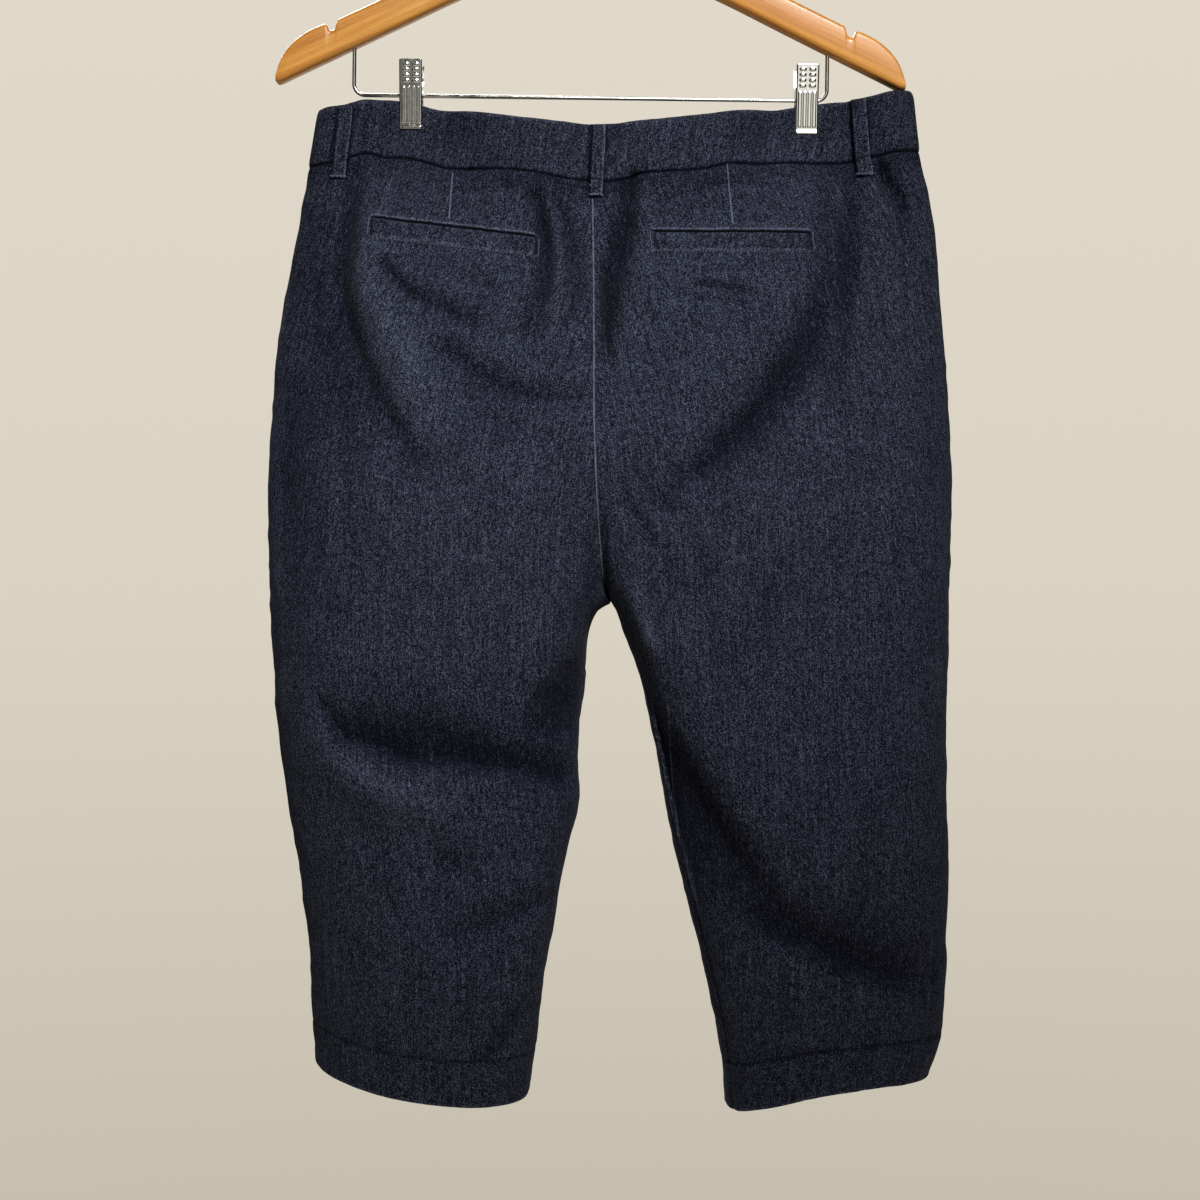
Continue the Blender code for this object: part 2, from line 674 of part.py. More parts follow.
# ------------------------------------------------------------------ hanger, mm, in its own frame
TILT = math.radians(0.75)  # its right side hangs lower
ARM_THICK, ARM_ROUND, ARM_CORNER_POINTS = 12.0, 3.5, 3
ARM_EDGES = Table(
    "across top under",
    [
        (0.0, 77.0, 105.0),
        (24.0, 79.0, 107.0),
        (60.0, 91.5, 117.5),
        (91.4, 106.0, 131.1),
        (137.7, 128.0, 153.7),
        (160.0, 138.8, 164.6),
        (176.0, 146.5, 172.4),
        (179.0, 148.0, 173.9),
        (181.5, 155.0, 175.1),
        (184.5, 156.0, 176.6),
        (187.5, 151.3, 178.0),
        (194.0, 153.5, 181.2),
        (201.0, 157.0, 184.6),
        (208.4, 162.5, 188.2),
        (214.0, 168.3, 191.0),
        (218.0, 174.5, 192.9),
        (221.0, 182.0, 193.6),
        (222.4, 188.0, 192.4),
    ],
)
ARM_STATIONS = [12.0, 42.0, 75.0, 115.0, 150.0]  # between the rows of the table

HOOK_WIRE, HOOK_INSIDE = 3.8, 19.0
HOOK_STEM_TOP, HOOK_STEM_LOW = 54.0, 76.6
HOOK_FROM, HOOK_TO = -62.0, 205.0  # degrees round its own centre, from the stem to the open end
HOOK_SWEEP = 9.0  # how softly the stem bends into the loop
BAR_WIRE, BAR_HALF, BAR_LEVEL, BAR_BEND = 2.8, 167.5, 200.7, 8.0

CLIP_WIDE, CLIP_SHEET = 16.0, 0.9
CLIP_U = (-126.8, 153.0)  # along the bar
# Side view of a jaw: its outer face's distance from the middle plane, and its level.
JAW = [(9.6, 177.4), (9.2, 181.0), (7.6, 190.0), (6.2, 199.0), (5.2, 208.0), (4.6, 216.0)]
JAW_LIP = [(4.3, 221.5), (4.3, 224.6)]
SPRING_LONG, SPRING_WALL, SPRING_SIDES = 9.0, 1.4, 16


def sweep_tube(name, path, radius, sides, made_of, end_level=None):
    """A round wire along points (across, out, down) in mm; end_level gives the level of its end faces."""
    path = np.array(path, float)
    tangent = unit(np.gradient(path, axis=0))
    out = np.array([0.0, 1.0, 0.0])
    rings = []
    for point, forward in zip(path, tangent):
        side = unit(np.cross(out, forward))
        angle = np.linspace(0, 2 * math.pi, sides, endpoint=False)[:, None]
        rings.append(point + radius * (np.cos(angle) * side + np.sin(angle) * out))
    rings = np.array(rings)
    if end_level is not None:
        for end in (0, -1):
            rings[end, :, 2] = end_level(rings[end, :, 0])
    return rings_solid(name, rings, made_of)


def tilted(points):
    """The hanger's own (across, out, down) in mm to Blender's metres, about the hook's contact."""
    across, out, down = points[..., 0], points[..., 1], points[..., 2]
    x = across * math.cos(TILT) - down * math.sin(TILT)
    z = -(across * math.sin(TILT) + down * math.cos(TILT))
    return np.stack([x, out, z], axis=-1) * MM


def rings_solid(name, rings, made_of, smooth_angle=40, place=None):
    """A closed solid through rings of equal length, capped at both ends."""
    count, sides = rings.shape[:2]
    points = (place or tilted)(rings).reshape(-1, 3)
    faces = []
    for r in range(count - 1):
        for c in range(sides):
            d = (c + 1) % sides
            faces.append([r * sides + c, r * sides + d, (r + 1) * sides + d, (r + 1) * sides + c])
    faces.append(list(range(sides))[::-1])
    faces.append([(count - 1) * sides + c for c in range(sides)])
    mesh = bpy.data.meshes.new(name)
    mesh.from_pydata(points.tolist(), [], faces)
    work = bmesh.new()
    work.from_mesh(mesh)
    work.normal_update()
    bmesh.ops.triangulate(work, faces=work.faces[:], quad_method="SHORT_EDGE", ngon_method="EAR_CLIP")
    if work.calc_volume(signed=True) < 0:
        bmesh.ops.reverse_faces(work, faces=work.faces[:])
    work.to_mesh(mesh)
    work.free()
    mesh.shade_smooth()
    mesh.set_sharp_from_angle(angle=math.radians(smooth_angle))
    return add_object(name, mesh, made_of)


def arc(centre, radius, start, end, count):
    """Points (across, down) round a centre; angles in degrees, anticlockwise from the right."""
    angle = np.radians(np.linspace(start, end, count))
    return [(centre[0] + radius * math.cos(a), centre[1] - radius * math.sin(a)) for a in angle]


def build_arms():
    """Two sloping arms in one board with rounded edges, and a notch in the top of each shoulder."""
    half = sorted(set(ARM_EDGES.rows[:, 0]) | set(ARM_STATIONS))
    rings = []
    for across in [-u for u in half[:0:-1]] + half:
        top = float(ARM_EDGES.at("top", abs(across)))
        under = float(ARM_EDGES.at("under", abs(across)))
        round_off = min(ARM_ROUND, (under - top) / 2.2)
        out_to, high, low = ARM_THICK / 2 - round_off, top + round_off, under - round_off
        ring = []
        corners = ((out_to, low, 0), (-out_to, low, 90), (-out_to, high, 180), (out_to, high, 270))
        for out, down, start in corners:
            for angle in np.radians(np.linspace(start, start + 90, ARM_CORNER_POINTS)):
                at = (out + round_off * math.cos(angle), down + round_off * math.sin(angle))
                ring.append((across, *at))
        rings.append(ring)
    return rings_solid("hanger_arms", np.array(rings), wood(), 50)


def build_hook():
    centre = (0.0, HOOK_INSIDE)
    radius = HOOK_INSIDE + HOOK_WIRE / 2
    loop = arc(centre, radius, HOOK_FROM, HOOK_TO, 26)
    start, leave = np.array([0.0, HOOK_STEM_TOP]), np.array(loop[0])
    turn = math.radians(HOOK_FROM)
    back_along = np.array([math.sin(turn), math.cos(turn)])
    path = [(0.0, v) for v in np.linspace(HOOK_STEM_LOW, HOOK_STEM_TOP, 3)]
    for u in np.linspace(0, 1, 8)[1:-1]:
        above = start + np.array([0.0, -HOOK_SWEEP])
        before = leave + back_along * HOOK_SWEEP
        blend = (1 - u) ** 3, 3 * u * (1 - u) ** 2, 3 * u * u * (1 - u), u**3
        path.append(tuple(blend[0] * start + blend[1] * above + blend[2] * before + blend[3] * leave))
    path += loop
    points = [(u, 0.0, v) for u, v in path]
    return sweep_tube("hanger_hook", points, HOOK_WIRE / 2, 10, steel())


def under_arm(across):
    """Level of the arms' lower edge, with the usual gap below it."""
    return ARM_EDGES.at("under", np.abs(across)) + SEAM_GAP


def build_bar():
    """The wire that the clips slide on: down from each arm, and straight across."""
    top = float(under_arm(BAR_HALF))
    corner = BAR_HALF - BAR_BEND
    half = [(BAR_HALF, v) for v in np.linspace(top, BAR_LEVEL - BAR_BEND, 3)]
    half += arc((corner, BAR_LEVEL - BAR_BEND), BAR_BEND, 0, -90, 7)[1:]
    half += [(u, BAR_LEVEL) for u in (corner * 2 / 3, corner / 3)]
    path = half + [(0.0, BAR_LEVEL)] + [(-u, v) for u, v in half[::-1]]
    points = [(u, 0.0, v) for u, v in path]
    return sweep_tube("hanger_bar", points, BAR_WIRE / 2, 8, steel(), end_level=under_arm)


def build_clip(side, middle):
    """Two pressed jaws either side of the cloth, and the sprung barrel that holds them on the bar."""
    profile = np.array(JAW + JAW_LIP, float)
    tangent = unit(np.gradient(profile, axis=0))
    inside = profile - np.stack([tangent[:, 1], -tangent[:, 0]], axis=-1) * CLIP_SHEET
    section = np.concatenate([profile, inside[::-1]])
    for name, outward in (("front", -1), ("rear", 1)):
        rings = []
        for u in (-CLIP_WIDE / 2, CLIP_WIDE / 2):
            rings.append([(middle + u, outward * out, down) for out, down in section])
        rings_solid(f"clip_{side}_{name}", np.array(rings), steel(), 30)
    inner = BAR_WIRE / 2 + SEAM_GAP
    outer = inner + SPRING_WALL
    mesh = bpy.data.meshes.new(f"clip_{side}_spring")
    work = bmesh.new()
    loops = []
    for u in (-SPRING_LONG / 2, SPRING_LONG / 2):
        for radius in (outer, inner):
            ring = arc((0.0, 0.0), radius, 0, 360 - 360 / SPRING_SIDES, SPRING_SIDES)
            at = np.array([(middle + u, out, BAR_LEVEL + down) for out, down in ring])
            loops.append([work.verts.new(p) for p in tilted(at)])
    near_out, near_in, far_out, far_in = loops
    for a, b in ((near_out, far_out), (far_out, far_in), (far_in, near_in), (near_in, near_out)):
        for c in range(SPRING_SIDES):
            d = (c + 1) % SPRING_SIDES
            work.faces.new((a[c], a[d], b[d], b[c]))
    bmesh.ops.triangulate(work, faces=work.faces[:])
    bmesh.ops.recalc_face_normals(work, faces=work.faces[:])
    if work.calc_volume(signed=True) < 0:
        bmesh.ops.reverse_faces(work, faces=work.faces[:])
    work.to_mesh(mesh)
    work.free()
    mesh.shade_smooth()
    mesh.set_sharp_from_angle(angle=math.radians(40))
    add_object(mesh.name, mesh, steel())


# ------------------------------------------------------------------ the part
def build_waistband(bands, band_normals):
    """The back in one piece, and two fronts, of which the left runs on behind the right."""
    half = {}
    for panel in PANELS:
        grid = drawn_back(bands[panel], band_normals[panel], 1, 0)
        half[panel] = drawn_back(grid, band_normals[panel], 0, -1)
    back = np.concatenate([half["back_left"], half["back_right"][:, -2::-1]], axis=1)
    ways = np.concatenate([band_normals["back_left"], band_normals["back_right"][:, -2::-1]], axis=1)
    wall("waistband_back", back, back - ways * BAND, denim())

    right, right_way = half["front_right"], band_normals["front_right"]
    right = drawn_back(right, right_way, 1, -1)
    wall("waistband_front_right", right, right - right_way * BAND, denim())

    left, left_way = half["front_left"], band_normals["front_left"]
    middle = left[:, -1:, 0]
    behind = BAND + LYING_GAP
    steps = [(UNDERLAP_STEP[0], 0.0), (UNDERLAP_STEP[1], behind), (UNDERLAP / 2, behind), (UNDERLAP, behind)]
    whole = np.concatenate([half["front_left"], half["front_right"][:, -2::-1]], axis=1)
    whole_way = np.concatenate([left_way, right_way[:, -2::-1]], axis=1)
    keep = left[:, :-1][:, (left[:, :-1, 0] < middle - UNDERLAP_CLEAR).all(axis=0)]
    keep_way = left_way[:, : keep.shape[1]]
    added, added_way = [], []
    for past, inward in steps:
        points = np.zeros_like(keep[:, 0])
        ways = np.zeros_like(points)
        for r in range(len(points)):
            at = middle[r, 0] + past
            for k in range(3):
                points[r, k] = np.interp(at, whole[r, :, 0], whole[r, :, k])
                ways[r, k] = np.interp(at, whole[r, :, 0], whole_way[r, :, k])
        ways = unit(ways)
        added.append(points - ways * inward)
        added_way.append(ways)
    left = np.concatenate([keep, np.stack(added, axis=1)], axis=1)
    left_way = np.concatenate([keep_way, np.stack(added_way, axis=1)], axis=1)
    wall("waistband_front_left", left, left - left_way * BAND, denim())


def build_loops(back_grid, front_grid):
    for name, (front, top_x, top_drop, low_x, low_drop) in zip(LOOP_NAMES, LOOPS.rows):
        grid, outward = (front_grid, 1) if front else (back_grid, -1)
        half = LOOP_WIDE / 2
        corners = [
            (top_x - half, top_drop),
            (top_x + half, top_drop),
            (low_x + half, low_drop),
            (low_x - half, low_drop),
        ]
        patch = patch_on(grid, corners, 9, 4)
        lying_piece(f"belt_loop_{name}", patch, outward, LOOP_THICK, LYING_GAP, LOOP_BOW)


def build_welts(back_grid):
    for name, corners in WELT_CORNERS.items():
        patch = patch_on(back_grid, corners, 4, 19)
        lying_piece(name, patch, -1, WELT_THICK, LYING_GAP)


def build_fly(front_grid):
    """The zip's tape behind the closed fronts, and the shield behind the zip."""
    top, low = FLY_DROP
    centre = [CENTRE_FRONT.at("x", level) for level in (top, low)]

    def strip(name, sides, thick, behind, made_of):
        left, right = sides
        corners = [
            (centre[0] + left, top),
            (centre[0] + right, top),
            (centre[1] + right, low),
            (centre[1] + left, low),
        ]
        patch = patch_on(front_grid, corners, 12, 5)
        normal = grid_normals(patch, 1)
        outer = patch - normal * behind
        wall(name, outer, outer - normal * thick, made_of)

    strip("fly_zip", (-ZIP_HALF, ZIP_HALF), ZIP_THICK, CLOTH + INSIDE_GAP, tape())
    strip("fly_shield", SHIELD_X, SHIELD_THICK, CLOTH + ZIP_THICK + 2 * INSIDE_GAP, denim())


def build_button(front_grid):
    """A plain shank button on the right-hand end of the waistband."""
    radius = BUTTON_PROFILE[1][0]
    x, drop = BUTTON_AT
    corners = [(x - radius, drop - radius), (x + radius, drop - radius)]
    corners += [(x + radius, drop + radius), (x - radius, drop + radius)]
    patch = patch_on(front_grid, corners, 5, 5)
    out = unit(grid_normals(patch, 1)[1:4, 1:4].mean(axis=(0, 1)))
    middle = patch[2, 2]
    proud = ((patch - middle) @ out).max() + SEAM_GAP
    across = unit(np.cross(out, [0.0, 0.0, 1.0]))
    down = np.cross(out, across)
    angle = np.linspace(0, 2 * math.pi, BUTTON_SIDES, endpoint=False)[:, None]
    rings = []
    for ring_radius, height in BUTTON_PROFILE:
        ring = middle + out * (proud + height)
        rings.append(ring + ring_radius * (np.cos(angle) * across + np.sin(angle) * down))
    rings_solid("waist_button", np.array(rings), button_metal(), 30, place=to_world)


def main():
    for obj in list(bpy.data.objects):
        bpy.data.objects.remove(obj, do_unlink=True)
    levels, grids, normals, bands, band_normals = garment()
    for panel in PANELS:
        panel_piece(panel, grids[panel], normals[panel], levels)
    build_waistband(bands, band_normals)
    torso = levels <= CROTCH_START
    upper = {panel: grids[panel][torso] for panel in PANELS}
    back_grid = joined_grid(bands, upper, "back_left", "back_right")
    front_grid = joined_grid(bands, upper, "front_left", "front_right")
    build_loops(back_grid, front_grid)
    build_welts(back_grid)
    build_fly(front_grid)
    build_button(front_grid)
    build_arms()
    build_hook()
    build_bar()
    for side, middle in zip(("left", "right"), CLIP_U):
        build_clip(side, middle)


main()
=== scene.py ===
"""Looks of the denim capri pants on their clip hanger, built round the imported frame.

Garment points are (x, y, drop) in mm: x from the garment's middle, y out to the fly side, and drop
down from the rail. Hanger points are (across, out, down) in mm in the hanger's own tilted frame.
"""

import math

import bpy
import numpy as np
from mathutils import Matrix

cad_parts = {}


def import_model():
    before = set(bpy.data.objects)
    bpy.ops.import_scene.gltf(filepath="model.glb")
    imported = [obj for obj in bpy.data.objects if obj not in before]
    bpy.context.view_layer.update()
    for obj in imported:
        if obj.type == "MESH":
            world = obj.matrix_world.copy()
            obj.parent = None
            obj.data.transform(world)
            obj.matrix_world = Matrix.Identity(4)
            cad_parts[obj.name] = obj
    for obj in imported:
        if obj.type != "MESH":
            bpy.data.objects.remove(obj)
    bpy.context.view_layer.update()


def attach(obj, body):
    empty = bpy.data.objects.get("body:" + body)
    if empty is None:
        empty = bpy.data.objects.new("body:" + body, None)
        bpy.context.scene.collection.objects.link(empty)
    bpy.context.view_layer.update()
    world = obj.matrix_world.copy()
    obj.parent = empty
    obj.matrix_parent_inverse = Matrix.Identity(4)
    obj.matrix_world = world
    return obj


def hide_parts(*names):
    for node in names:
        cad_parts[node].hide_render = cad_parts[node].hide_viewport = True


MM = 0.001
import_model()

# ------------------------------------------------------------------ driving sizes, mm
CLOTH, BAND, HEM_LAYER = 1.2, 2.4, 1.2  # walls: a panel, the band with its facing, the turned-up hem
# Levels name the rows, from the band's top to the hem. The tables below say where each row's ends hang.
BAND_TOP, BAND_SEAM = 206.0, 244.4
CROTCH_START, CROTCH = 471.0, 565.0
LEG_START, HEM_TOP, HEM = 600.0, 860.0, 890.0
DENSE = 481  # points of a row before it is spaced evenly
GARMENT_X = 4.2  # the garment's own middle from the hook's
SIDE_SQUARE = 2.25  # how square a row is towards its side seam, where 2 is an ellipse
EDGE_FADE = 90.0  # the band's dip has died out this far below its seam
# How much higher the middle of each hem hangs than its ends, which starts at a level above it.
HEM_LIFT = {"back_left": -5.0, "back_right": 9.0, "front_left": 0.0, "front_right": 3.0}
HEM_LIFT_FROM = 740.0

# The clips hold front and back together over a flat stretch, which widens and fades below the jaws.
CLIP_X = (-133.6, 145.6)
CLIP_HALF = BAND + 0.5
CLIP_FLAT, CLIP_BITE = 16.0, 228.0
CLIP_SPREAD, CLIP_WIDENS, CLIP_FADE = 20.0, 0.35, 42.0

# Rows round the crotch change shape quickly, so they are evened out over these levels.
EASE_TOP, EASE_LOW, EASE_BLEND, EASE_FROM_SEAM = 490.0, 650.0, 25.0, 40.0
EASE_PASSES, EASE_RATE = 60, 0.25

FOLD_STEP = 1.5  # between the points of a fold's line
TROUGH_SHARP, RIDGE_SHARP = 1.7, 2.0
FOLD_REACH = 2.6  # widths from its line at which a fold has died out
SIDE_BLEND = 3.0  # one side's width gives way to the other's over this distance
FOLD_LIMIT = 0.7  # of the way to the middle of the garment
SEAM_CALM = 9.0  # folds die out this close to a seam
FOLD_SHADE_DEPTH, FADE_MOST = 16.0, 0.4  # a fold this deep has the full painted shade in its trough, and a ridge is faded paler by at most this much

# rows of the fine grids: (from, to, spacing)
ROW_RUNS = [
    (BAND_SEAM, 247.4, 0.6),
    (247.4, 283.0, 1.8),
    (283.0, 324.0, 1.4),
    (324.0, CROTCH_START, 2.2),
    (CROTCH_START, CROTCH, 2.1),
    (CROTCH, LEG_START, 1.8),
    (LEG_START, HEM_TOP, 2.3),
    (HEM_TOP, HEM, 1.5),
]
COLUMNS = {"back": 124, "front": 84}
ALLOWANCE = 5  # columns beside a seam that show the face on the inside
BAND_ROWS = 26


class Table:
    """Rows of numbers with named columns. at() looks a place up in the first column."""

    def __init__(self, names, rows):
        self.names = names.split()
        self.rows = np.array(rows, float)

    def column(self, name):
        return self.rows[:, self.names.index(name)]

    def at(self, name, where):
        """Smooth curve through a column's values."""
        x, y = self.rows[:, 0], self.column(name)
        where = np.clip(np.asarray(where, float), x[0], x[-1])
        step = np.diff(y) / np.diff(x)
        same_way = step[:-1] * step[1:] > 0
        inner = np.zeros(len(step) - 1)
        inner[same_way] = 2 / (1 / step[:-1][same_way] + 1 / step[1:][same_way])
        slope = np.concatenate([step[:1], inner, step[-1:]])
        i = np.clip(np.searchsorted(x, where, side="right") - 1, 0, len(x) - 2)
        width = x[i + 1] - x[i]
        u = (where - x[i]) / width
        return (
            y[i] * (1 + 2 * u) * (1 - u) ** 2
            + slope[i] * width * u * (1 - u) ** 2
            + y[i + 1] * u * u * (3 - 2 * u)
            + slope[i + 1] * width * u * u * (u - 1)
        )


# ------------------------------------------------------------------ where the seams run, mm
SIDES = Table(
    "level left_x left_y left_drop right_x right_y right_drop",
    [
        (206.0, -199.5, 0, 210.5, 221.5, 0, 198.6),
        (244.4, -206.0, 0, 250.0, 226.0, 0, 238.8),
        (272.8, -210.5, 0, 275.0, 232.4, 0, 270.0),
        (301.1, -214.7, 0, 301.1, 237.4, 0, 300.0),
        (357.8, -225.3, 0, 357.8, 241.6, 0, 357.8),
        (414.5, -231.0, 0, 414.5, 245.9, 0, 414.5),
        (471.2, -233.8, 0, 471.2, 248.0, 0, 471.2),
        (527.9, -233.8, 0, 527.9, 247.3, 0, 527.9),
        (584.5, -231.7, 3, 584.5, 245.2, 2, 584.5),
        (641.2, -228.2, 6, 641.2, 244.5, 4, 641.2),
        (697.9, -221.8, 10, 697.9, 245.2, 6, 697.9),
        (754.6, -213.3, 14, 754.6, 246.6, 8, 754.6),
        (811.3, -207.6, 18, 809.0, 245.9, 11, 811.3),
        (860.0, -205.5, 21, 855.5, 242.5, 14, 861.5),
        (890.0, -203.5, 23, 884.0, 234.5, 15, 891.0),
    ],
)
CENTRE_BACK = Table(
    "level x y drop",
    [
        (206.0, -5.5, -27, 226.8),
        (244.4, -5.5, -31, 265.8),
        (301.1, -5.0, -40, 312.0),
        (357.8, -4.0, -50, 360.0),
        (414.5, -4.0, -57, 414.0),
        (457.0, -3.5, -60.4, 453.0),
        (485.0, -2.5, -59.6, 479.0),
        (510.0, -1.0, -54.5, 507.0),
        (530.0, 1.0, -45.6, 531.0),
        (546.0, 3.8, -33.2, 547.0),
        (556.0, 6.6, -18.7, 556.0),
        (565.0, 8.8, -3.2, 559.3),
    ],
)
CENTRE_FRONT = Table(
    "level x y drop",
    [
        (206.0, -3.0, 15, 232.0),
        (244.4, -3.0, 20, 272.0),
        (301.1, -2.0, 30, 318.0),
        (357.8, -1.0, 38, 366.0),
        (414.5, 0.0, 44, 417.0),
        (457.0, 1.0, 46.9, 455.0),
        (485.0, 2.0, 47.7, 482.0),
        (510.0, 3.0, 45.7, 508.0),
        (530.0, 4.0, 39.9, 531.0),
        (546.0, 5.6, 30.8, 547.0),
        (556.0, 7.4, 19.2, 556.0),
        (565.0, 8.8, -3.2, 559.3),
    ],
)
INSEAMS = Table(
    "level left_x left_y left_drop right_x right_y right_drop",
    [
        (565.0, 8.8, -3.2, 559.3, 8.8, -3.2, 559.3),
        (570.0, -0.8, -3.6, 562.0, 11.2, -7.0, 562.6),
        (576.0, -6.4, -4.0, 566.8, 13.4, -12.0, 568.6),
        (584.0, -8.5, -4.0, 577.0, 16.2, -17.5, 578.2),
        (595.0, -9.5, -3.5, 592.0, 22.5, -22.0, 592.0),
        (612.9, -11.3, -3.0, 612.0, 30.5, -25.0, 612.5),
        (641.2, -15.0, -3.0, 641.2, 37.5, -26.0, 641.5),
        (669.6, -15.6, -4.0, 670.0, 43.5, -26.5, 670.0),
        (692.0, -14.2, -5.0, 693.0, 48.0, -26.5, 693.0),
        (726.3, -22.0, -6.5, 728.0, 55.5, -26.5, 728.0),
        (754.6, -28.3, -8.0, 757.5, 63.0, -26.5, 758.0),
        (783.0, -33.0, -9.5, 787.5, 71.0, -27.0, 789.0),
        (811.3, -39.0, -11.0, 817.5, 79.0, -27.5, 820.0),
        (840.0, -42.6, -12.5, 848.0, 85.5, -28.0, 853.0),
        (860.0, -45.6, -13.5, 869.5, 89.0, -29.0, 877.0),
        (890.0, -50.0, -14.0, 900.0, 92.0, -30.0, 908.0),
    ],
)
# How deep each row's ellipse is from the side seam's plane to the front or back.
DEPTHS = Table(
    "level back_left back_right front_left front_right",
    [
        (206.0, 27, 27, 15, 15),
        (244.4, 32, 32, 20, 20),
        (301.1, 44, 43, 30, 30),
        (357.8, 55, 53, 38, 38),
        (414.5, 62, 60, 44, 44),
        (457.0, 66, 64, 48, 48),
        (510.0, 69, 68, 51, 51),
        (565.0, 70, 69, 53, 53),
        (612.9, 70, 70, 54, 54),
        (669.6, 68, 72, 54, 54),
        (726.3, 62, 70, 52, 53),
        (783.0, 60, 66, 51, 52),
        (840.0, 60, 62, 50, 51),
        (890.0, 60, 61, 50, 50),
    ],
)
# How far round its ellipse each row goes, how square the ellipse is towards the centre seam, and how
# late along the row its level gives way to that of the centre seam.
TURNS = Table(
    "level back_left back_right front_left front_right square late",
    [
        (206.0, 90, 90, 90, 90, 2.0, 1.0),
        (301.1, 92, 92, 91, 91, 2.2, 1.0),
        (414.5, 102, 102, 98, 98, 2.6, 1.0),
        (457.0, 109.8, 109.8, 105.1, 105.1, 3.0, 1.0),
        (485.0, 119.8, 119.8, 113.6, 113.6, 3.4, 1.5),
        (510.0, 134.8, 134.8, 129.4, 129.4, 3.9, 2.5),
        (530.0, 151.4, 151.4, 148.3, 148.3, 4.3, 3.5),
        (546.0, 165.9, 165.9, 164.9, 164.9, 4.5, 4.0),
        (556.0, 175.4, 175.4, 175.4, 175.4, 4.5, 4.5),
        (565.0, 179.6, 179.6, 180.2, 180.4, 4.4, 4.5),
        (584.0, 179.2, 174.1, 180.8, 185.9, 4.0, 4.0),
        (612.9, 179.2, 167.7, 180.8, 192.3, 3.6, 2.0),
        (669.6, 179.0, 164.0, 181.0, 196.0, 3.0, 1.0),
        (726.3, 178.5, 161.5, 181.5, 198.5, 2.7, 1.0),
        (890.0, 178.0, 159.0, 182.0, 201.0, 2.4, 1.0),
    ],
)
# The waistband's edges between the side seams and the centres: a shallow catenary from clip to clip.
BACK_EDGES = Table(
    "x top seam",
    [
        (-206, 211.0, 250.0),
        (-199, 211.4, 249.7),
        (-192, 210.5, 248.8),
        (-181, 210.1, 248.3),
        (-174, 208.2, 243.8),
        (-163, 205.0, 241.0),
        (-150, 204.2, 243.7),
        (-137, 205.6, 243.9),
        (-126.8, 207.8, 246.0),
        (-116.5, 210.6, 249.4),
        (-106, 213.2, 252.8),
        (-86.5, 216.9, 255.0),
        (-70, 219.4, 256.1),
        (-45, 222.5, 259.2),
        (-26, 224.6, 263.3),
        (-5.5, 226.8, 265.8),
        (3, 226.3, 266.3),
        (14, 225.4, 264.6),
        (28, 223.3, 260.0),
        (47, 221.4, 258.7),
        (72, 218.4, 256.6),
        (90, 215.7, 251.6),
        (110.6, 212.5, 250.0),
        (133, 208.8, 247.6),
        (143, 207.7, 248.2),
        (166, 205.6, 248.2),
        (179, 203.7, 246.4),
        (192, 201.2, 244.5),
        (208.6, 196.8, 240.9),
        (218, 195.9, 239.8),
        (226, 198.6, 238.8),
    ],
)
FRONT_EDGES = Table(
    "x top seam",
    [
        (-206, 209.0, 244.6),
        (-134, 207.0, 248.0),
        (-60, 223.0, 263.5),
        (-3, 232.0, 272.0),
        (60, 223.0, 262.5),
        (146, 207.5, 250.0),
        (226, 199.5, 239.0),
    ],
)

